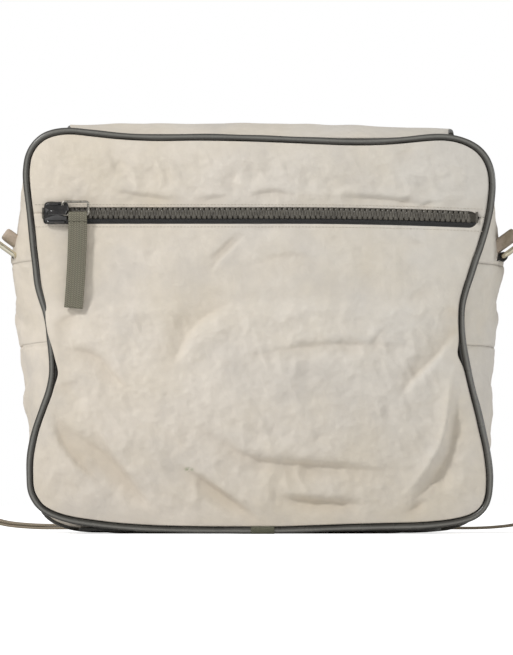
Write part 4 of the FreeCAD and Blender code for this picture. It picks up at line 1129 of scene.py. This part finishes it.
count = len(gusset)
left_low, left_high = belly_row(LOWER_SEAM, True), belly_row(UPPER_SEAM, True)
right_low, right_high = belly_row(LOWER_SEAM, False), belly_row(UPPER_SEAM, False)
for name, start, end in (("gusset_middle_left", left_low, left_high),
                         ("gusset_upper_left", left_high, mouth_row(-150.0)),
                         ("gusset_upper_right", mouth_row(150.0), right_high),
                         ("gusset_middle_right", right_high, right_low),
                         ("gusset_bottom", right_low, left_low + count)):
    rows = np.arange(start, end + 1) % count
    piece = skin(f"{name}_cloth", gusset[rows], shell_cloth, centre=(0, 0, MIDDLE_LEVEL), wall=1.0)
    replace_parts(piece, name)

# %% [markdown]
# ## Front panel
# The front panel is one plain patch inside the front piping, hidden under the flap. It is made like the rear
# panels, with a low roll at the piping and slight crumples.

# %% Front panel
front_edge = inset(front_outline, 2.0)
foot = np.vstack([front_edge[c_foot_right:], front_edge[:c_foot_left + 1]])[::-1]
flat_grid = coons(even(front_edge[c_foot_left:c_head_left + 1], 130),
                  even(front_edge[c_head_right:c_foot_right + 1][::-1], 130),
                  even(foot, 150), even(front_edge[c_head_left:c_head_right + 1], 150))
x, z = flat_grid[..., 0], flat_grid[..., 1]
edge = distance_to(front_outline, x, z)
y = CLOTH_DEPTH + (0.9 * (1 - np.exp(-edge / 9)) + 0.12 * broad_crumple(x + 50, z) * ramp(0, 20, edge))
piece = skin("front_cloth", np.stack([x, y, z], -1), shell_cloth, face=(0, 1, 0), flat=flat_grid,
             wall=1.0)
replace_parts(piece, "front_panel")

# %% [markdown]
# ## Pocket and base board
# The pocket behind the zip is a flat pouch of lining that hangs against the rear panel, and a stiff board keeps
# the base flat. The pouch is a rounded box: its width and depth are powers of cosine and sine, which square the
# corners off, and it narrows below the zip. The board is the CAD's own piece with its edges rounded.

# %% Pocket and base board
pocket_low, pocket_high = (np.array(corner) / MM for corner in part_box("zip_pocket_bag"))
step_level, narrow = 221.0, 148.0
v = np.linspace(0, 1, 60)
turn = np.linspace(0, 2 * np.pi, 72, endpoint=False)
level = pocket_low[2] + (pocket_high[2] - pocket_low[2]) * v
half_width = narrow + (pocket_high[0] - narrow) * ramp(step_level - 8, step_level + 8, level)
plump = np.sqrt(np.clip(1 - (2 * v - 1) ** 10, 0.0004, 1))
round_x = np.sign(np.cos(turn)) * np.abs(np.cos(turn)) ** 0.25
round_y = np.sign(np.sin(turn)) * np.abs(np.sin(turn)) ** 0.6
middle_y = (pocket_low[1] + pocket_high[1]) / 2 + 0.4
ripple = 1 + 0.12 * np.sin(level[:, None] * 0.13 + 3 * round_x)
grid = np.stack([half_width[:, None] * round_x * plump[:, None] ** 0.3,
                 middle_y + 3.9 * plump[:, None] * round_y * ripple,
                 np.broadcast_to(level[:, None], ripple.shape)], -1)
piece = skin("pocket_pouch", grid, lining_cloth, ring=True, caps=True)
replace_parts(piece, "zip_pocket_bag")
softened("base_board", 0.8, board_sheet, "bag")

# %% [markdown]
# ## The flap
# The flap is sewn in at the top of the rear face. It arches over the mouth, folds over the front edge and
# hangs down the front, with a dark binding round its free edges.

# %% The flap's section
ARCH_MIDDLE, ARCH = np.array([4.80, 207.17]), 110.0
FOLD_LEVEL, FLAT_ABOVE, FOLD = 303.2, 303.1, 5.5
FOLD_MIDDLE, FLAP_DEPTH = np.array([SEAM_DEPTH, FOLD_LEVEL]), SEAM_DEPTH + FOLD
FLAP_HALF, BINDING, HEM = 147.7, 2.3, 4.6
arch_start, arch_end = np.radians(116.2), np.radians(66.8)
arch_turn = np.linspace(arch_start, arch_end, 46)
arch = ARCH_MIDDLE + ARCH * np.stack([np.cos(arch_turn), np.sin(arch_turn)], 1)
fold_turn = np.linspace(arch_end, 0, 10)[1:]
bend = FOLD_MIDDLE + FOLD * np.stack([np.cos(fold_turn), np.sin(fold_turn)], 1)
section = even(np.vstack([arch, bend]), 60)
print(f"the flap's top is {length_of(section):.0f} mm from seam to fold")


def flap_top_at(x, row_share, section_points):
    """The flap's top: the section carried across, raised in the middle of its depth, sinking to the right, and
    crumpled a little between its two edges."""
    y, z = section_points[..., 0], section_points[..., 1]
    inside = np.sin(np.pi * np.clip(row_share, 0, 1)) ** 0.8
    lift = inside * (2.6 - 3.6 * ramp(10, 150, x) - 1.6 * ramp(110, 150, -x)
                     + 0.3 * broad_crumple(x * 0.8, y + 300))
    return y, z + lift


columns = np.linspace(-FLAP_HALF, FLAP_HALF, 150)
x, share = np.meshgrid(columns, np.linspace(0, 1, 60))
y, z = flap_top_at(x, share, section[:, None])
top_cloth = skin("flap_top_cloth", np.stack([x, np.broadcast_to(y, x.shape), z], -1), shell_cloth,
                 body=None, face=(0, 0, 1), wall=1.3)
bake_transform(top_cloth)
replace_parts(top_cloth, "flap_top")
for side, name in ((-1, "flap_top_binding_left"), (1, "flap_top_binding_right")):
    edge_x = side * FLAP_HALF
    y, z = flap_top_at(np.full(60, edge_x), np.linspace(0, 1, 60), section)
    line = np.stack([np.full(60, edge_x), y, z - 3.0 * np.sin(np.linspace(0, np.pi, 60))], 1)[4:]
    piece = tube(f"{name}_tube", line, BINDING, (1, 0, 0), piping_vinyl, body=None, sides=14)
    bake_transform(piece)
    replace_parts(piece, name)


# %% [markdown]
# ## The flap's front
# The front hangs from the fold. It is a Coons patch inside the hem line, pushed out by waves and a few long
# folds, and the binding is a tube along the same hem, so that the two always meet.


# %% The flap's front
def flap_hem():
    """The flap's free edge as a flat line of x and z: down the left side, along the hem and up the right."""
    corner = 20.0
    a = np.linspace(np.pi, 1.5 * np.pi, 14)
    left = np.stack([-FLAP_HALF + corner + corner * np.cos(a), HEM + corner + corner * np.sin(a)], 1)
    right = np.stack([-left[::-1, 0], left[::-1, 1] - 1.2], 1)
    return even(np.vstack([[(-FLAP_HALF, FOLD_LEVEL)], left, right, [(FLAP_HALF, FOLD_LEVEL)]]), 700)


def flap_front_y(x, z):
    """The depth of the flap's front: a flat fall that flares out a little at the hem, with soft waves and
    long folds from the upper corners."""
    down = np.clip((FOLD_LEVEL - z) / 300, 0, 1)
    waves = (1.1 * np.sin(x * 0.045 + 0.6) * down**1.5 + 0.7 * broad_crumple(x + 120, z + 60)
             + 0.12 * fine_crumple(x, z + 33))
    lines = (([(-140, 290), (-90, 200), (-60, 110)], 9, -2.0, 0.8),
             ([(138, 288), (98, 190), (80, 90)], 9, -2.2, -0.8),
             ([(-100, 60), (-20, 44), (70, 52)], 8, 1.6, 1.2), ([(-30, 250), (40, 232), (110, 240)], 8, 1.3, 0.9),
             ([(20, 160), (60, 120), (70, 70)], 9, 1.5, -0.9), ([(-130, 120), (-96, 84), (-90, 40)], 8, 1.6, 1.0))
    folds = sum(fold(x, z, *values) for values in lines)
    held = ramp(303, 270, z)
    return 51.8 + (1.6 + 2.4 * down**3 + waves + folds) * held * ramp(155, 120, np.abs(x)) ** 0.3 + 0.3 * held


hem = flap_hem()
gap_left = int(np.argmax(-hem[:, 0] - hem[:, 1]))
gap_right = int(np.argmax(hem[:, 0] - hem[:, 1]))
head = np.stack([np.linspace(-FLAP_HALF, FLAP_HALF, 150), np.full(150, FOLD_LEVEL)], 1)
flat_grid = coons(even(hem[:gap_left + 1][::-1], 140), even(hem[gap_right:], 140),
                  even(hem[gap_left:gap_right + 1], 150), head)
x, z = flat_grid[..., 0], flat_grid[..., 1]
y = np.where(z > FLAT_ABOVE, FLAP_DEPTH, flap_front_y(x, z))
front_cloth = skin("flap_front_cloth", np.stack([x, y, z], -1), shell_cloth, body=None,
                   face=(0, 1, 0), flat=flat_grid, wall=1.3)
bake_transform(front_cloth)
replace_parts(front_cloth, "flap_front")
line = np.stack([hem[:, 0], flap_front_y(hem[:, 0], hem[:, 1]), hem[:, 1]], 1)
line[:, 1] = np.where(hem[:, 1] > FLAT_ABOVE, FLAP_DEPTH, line[:, 1]) - 0.5
piece = tube("flap_front_binding_tube", line, BINDING, (0, 1, 0.02), piping_vinyl, body=None, sides=14)
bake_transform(piece)
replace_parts(piece, "flap_front_binding")

# %% [markdown]
# ## Touch fasteners
# Two patches of hooks on the flap grip two patches of loops on the front. Single hooks are too small to see, so
# the CAD's flat patches are kept, with soft edges and a rough weave.

# %% Touch fasteners
for side in ("left", "right"):
    softened(f"loop_patch_{side}", 0.4, touch_cloth, "bag")
    softened(f"hook_patch_{side}", 0.4, touch_cloth, "flap_front")

# %% [markdown]
# ## Tabs and rings
# At each side a thick folded tab comes out of the gusset. Below it a loop holds a flat wire ring; the loop is
# coloured near black, as painted shade under the tab. The strap's sewn end is folded round the ring's far bar.
# The tab is a rounded bar with a soft end, and the sewn end is folded webbing, made in the same way as the puller.

# %% Tabs, loops and sewn ends
LEAN = np.radians(36.0)
outwards = np.array([np.cos(LEAN), 0, np.sin(LEAN)])
upwards = np.array([-np.sin(LEAN), 0, np.cos(LEAN)])
tab_point = np.array([187.1, 0, 225.2])
ring_pivot = np.array([189.03, 0, 215.23])
ring_far = ring_pivot + 24.0 * outwards


def tab_grid():
    """A padded bar: a rounded rectangle of width 38 and thickness 10 carried outwards, its end drawn in over
    the last 3 mm and its faces dented along two rows of stitches."""
    along = np.concatenate([np.linspace(-9, 11, 26), [12.2, 13.2, 13.8, 14.0]])
    shrink = np.concatenate([np.ones(26), [0.985, 0.94, 0.86, 0.7]])
    turn = np.linspace(0, 2 * np.pi, 64, endpoint=False)
    wide = np.sign(np.cos(turn)) * np.abs(np.cos(turn)) ** 0.22 * 19.0
    deep = np.sign(np.sin(turn)) * np.abs(np.sin(turn)) ** 0.4 * 5.0
    dent = 1 - 0.10 * np.exp(-((np.abs(wide) - 15.5) / 1.0) ** 2)
    wide_now = wide[None] - np.sign(wide)[None] * (1 - shrink[:, None]) * 5
    deep_now = deep[None] * dent[None] * shrink[:, None]
    return (tab_point + along[:, None, None] * outwards + deep_now[..., None] * upwards
            + wide_now[..., None] * np.array([0, 1.0, 0]))


for side, mirror in (("right", 1), ("left", -1)):
    turned_over = np.array([mirror, 1, 1])
    piece = skin(f"side_tab_{side}_padded", tab_grid() * turned_over, tab_cloth, ring=True,
                 caps=True)
    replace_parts(piece, f"side_tab_{side}")
    # The loop is coloured near black: painted shade under the tab.
    softened(f"anchor_loop_{side}", 0.35, loop_webbing_painted_shade, "bag")
    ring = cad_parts[f"ring_{side}"]
    ring.data.materials.clear()
    ring.data.materials.append(ring_metal)
    piece = folded(f"strap_end_{side}_fold", ring_far * turned_over, upwards * turned_over, outwards * turned_over,
                   np.array([0, 1.0, 0]), STRAP_WIDTH, 2.1, 2.3, 24.0, 0.0, strap_weave, f"ring_{side}")
    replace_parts(piece, f"strap_end_{side}")

# %% [markdown]
# ## Adjuster and keeper
# A three-bar adjuster sets the strap's length and a loop keeps its doubled part flat. Both are moulded plastic
# with plain bars, so the CAD's pieces only need rounder edges.

# %% Adjuster and keeper
softened("strap_adjuster", 0.8, buckle_plastic, "bag")
softened("strap_keeper", 0.5, buckle_plastic, "strap_keeper")

# %% [markdown]
# ## Stitches
# Each stitch is a short grain of thread lying in the cloth. A row follows a line, with one grain at every
# step, so a few dozen faces are repeated hundreds of times in one mesh.


# %% Stitch rows
def stitches(name, line, outward, pitch, length, radius, material, body="bag"):
    """Grains along a line: rings of six points whose radius swells towards the middle of each grain."""
    count = max(int(length_of(line) / pitch), 2)
    fine_line = even(line, count * 4 + 1)
    centre = fine_line[2::4][:count]
    way = unit(fine_line[3::4][:count] - fine_line[1::4][:count])
    normal = unit(np.broadcast_to(np.asarray(outward, float), way.shape) - (way * outward).sum(1)[:, None] * way)
    side = np.cross(way, normal)
    share = np.array([-0.5, -0.35, 0.0, 0.35, 0.5])
    swell = np.array([0.35, 0.85, 1.0, 0.85, 0.35])
    turn = np.linspace(0, 2 * np.pi, 6, endpoint=False)
    section = np.cos(turn)[None, :, None] * np.array([1.0, 0]) + np.sin(turn)[None, :, None] * np.array([0, 0.8])
    ring = swell[:, None, None] * radius * section
    points = (centre[:, None, None] + (share * length)[None, :, None, None] * way[:, None, None]
              + ring[None, ..., :1] * side[:, None, None] + ring[None, ..., 1:] * normal[:, None, None])
    grain = np.arange(30).reshape(5, 6)
    grain = np.hstack([grain, grain[:, :1]])
    quads = quads_of(grain).reshape(-1, 4)
    ends = np.stack([grain[0, :-1][::-1], grain[-1, :-1]])
    step = (np.arange(count) * 30)[:, None, None]
    faces, ends = (quads[None] + step).reshape(-1, 4), (ends[None] + step).reshape(-1, 6)
    flat_points = points.reshape(-1, 3)
    a, b, c, d = (flat_points[faces[:20, k]] for k in range(4))
    if (np.cross(c - a, d - b) * ((a + c) / 2 - flat_points[:30].mean(0))).sum() < 0:
        faces, ends = faces[:, ::-1], ends[:, ::-1]
    mesh = bpy.data.meshes.new(name)
    mesh.from_pydata((flat_points * MM).tolist(), [], faces.tolist() + ends.tolist())
    mesh.polygons.foreach_set("use_smooth", [True] * (len(faces) + len(ends)))
    mesh.materials.append(material)
    return placed(name, mesh, body)


def on_rear(x, offset):
    """A line on the rear cloth, a fixed distance above or below the zip's middle."""
    z = zip_line(x) + offset
    edge = distance_to(rear_outline, x, z)
    return np.stack([x, -CLOTH_DEPTH - rear_relief(x, z, edge) - 0.12, z], 1)


STITCH_PITCH, STITCH_LENGTH, THREAD_RADIUS = 2.6, 1.9, 0.22
for name, offset in (("zip_stitches_lower", -10.6), ("zip_stitches_upper", 6.6)):
    stitches(name, on_rear(np.linspace(-174, 172, 500), offset), (0, -1, 0), STITCH_PITCH, STITCH_LENGTH,
             THREAD_RADIUS, stitch_thread)

# %% [markdown]
# ## Floor and light
# The background is white: the world shows white to the camera, and lights the cloth and the metal less, so that
# they keep their shade. The floor keeps the bag's soft shadow, and a large lamp from the upper left shapes the
# folds. A white backdrop with more lamps would wash the pale cloth out.

# %% Floor and lamps
floor_mesh = bpy.data.meshes.new("floor")
floor_mesh.from_pydata([(-6, -6, 0), (6, -6, 0), (6, 6, 0), (-6, 6, 0)], [], [(0, 1, 2, 3)])
floor = bpy.data.objects.new("floor", floor_mesh)
bpy.context.collection.objects.link(floor)
paper = bpy.data.materials.new("paper")
paper.use_nodes = True
tree = paper.node_tree
tree.nodes.clear()
rays = node(tree, "LightPath").outputs
seen = rays["Is Camera Ray"]
matte = node(tree, "BsdfDiffuse", {"Color": (0.86, 0.86, 0.86, 1)}).outputs[0]
glow = node(tree, "Emission", {"Color": (1, 1, 1, 1), "Strength": 0.66}).outputs[0]
both = node(tree, "AddShader", {0: matte, 1: glow}).outputs[0]
shown = node(tree, "MixShader", {0: seen, 1: matte, 2: both}).outputs[0]
node(tree, "OutputMaterial", {"Surface": shown})
floor_mesh.materials.append(paper)

world = bpy.data.worlds.new("studio")
bpy.context.scene.world = world
world.use_nodes = True
tree = world.node_tree
tree.nodes.clear()
rays = node(tree, "LightPath").outputs
seen = maths(tree, "MAXIMUM", rays["Is Camera Ray"], rays["Is Transmission Ray"])
white = node(tree, "Background", {"Color": (1, 1, 1, 1), "Strength": 1.0}).outputs[0]
ambient = node(tree, "Background", {"Color": (1, 1, 1, 1), "Strength": 0.42}).outputs[0]
node(tree, "OutputWorld", {"Surface": node(tree, "MixShader", {0: seen, 1: ambient, 2: white}).outputs[0]})


def lamp(name, place, aim, size, watts):
    """A square lamp that looks at a point."""
    light = bpy.data.lights.new(name, "AREA")
    light.size, light.energy = size, watts
    holder = bpy.data.objects.new(name, light)
    way = np.array(aim) - np.array(place)
    flat_turn = np.arctan2(way[0], -way[1]) + np.pi
    holder.location = place
    holder.rotation_euler = (np.arctan2(np.hypot(way[0], way[1]), -way[2]), 0, -flat_turn + np.pi)
    bpy.context.collection.objects.link(holder)


lamp("key", (-3.3, -3.1, 4.0), (0, 0, 0.15), 1.3, 430)
lamp("fill", (2.4, -2.2, 1.0), (0, 0, 0.15), 1.6, 26)
lamp("right", (3.6, 0.1, 0.9), (0, 0, 0.15), 1.2, 34)
lamp("back", (1.2, 3.0, 2.2), (0, 0, 0.15), 1.6, 90)
print("lamps:", ", ".join(f"{light.name} {light.energy:.0f} W" for light in bpy.data.lights))
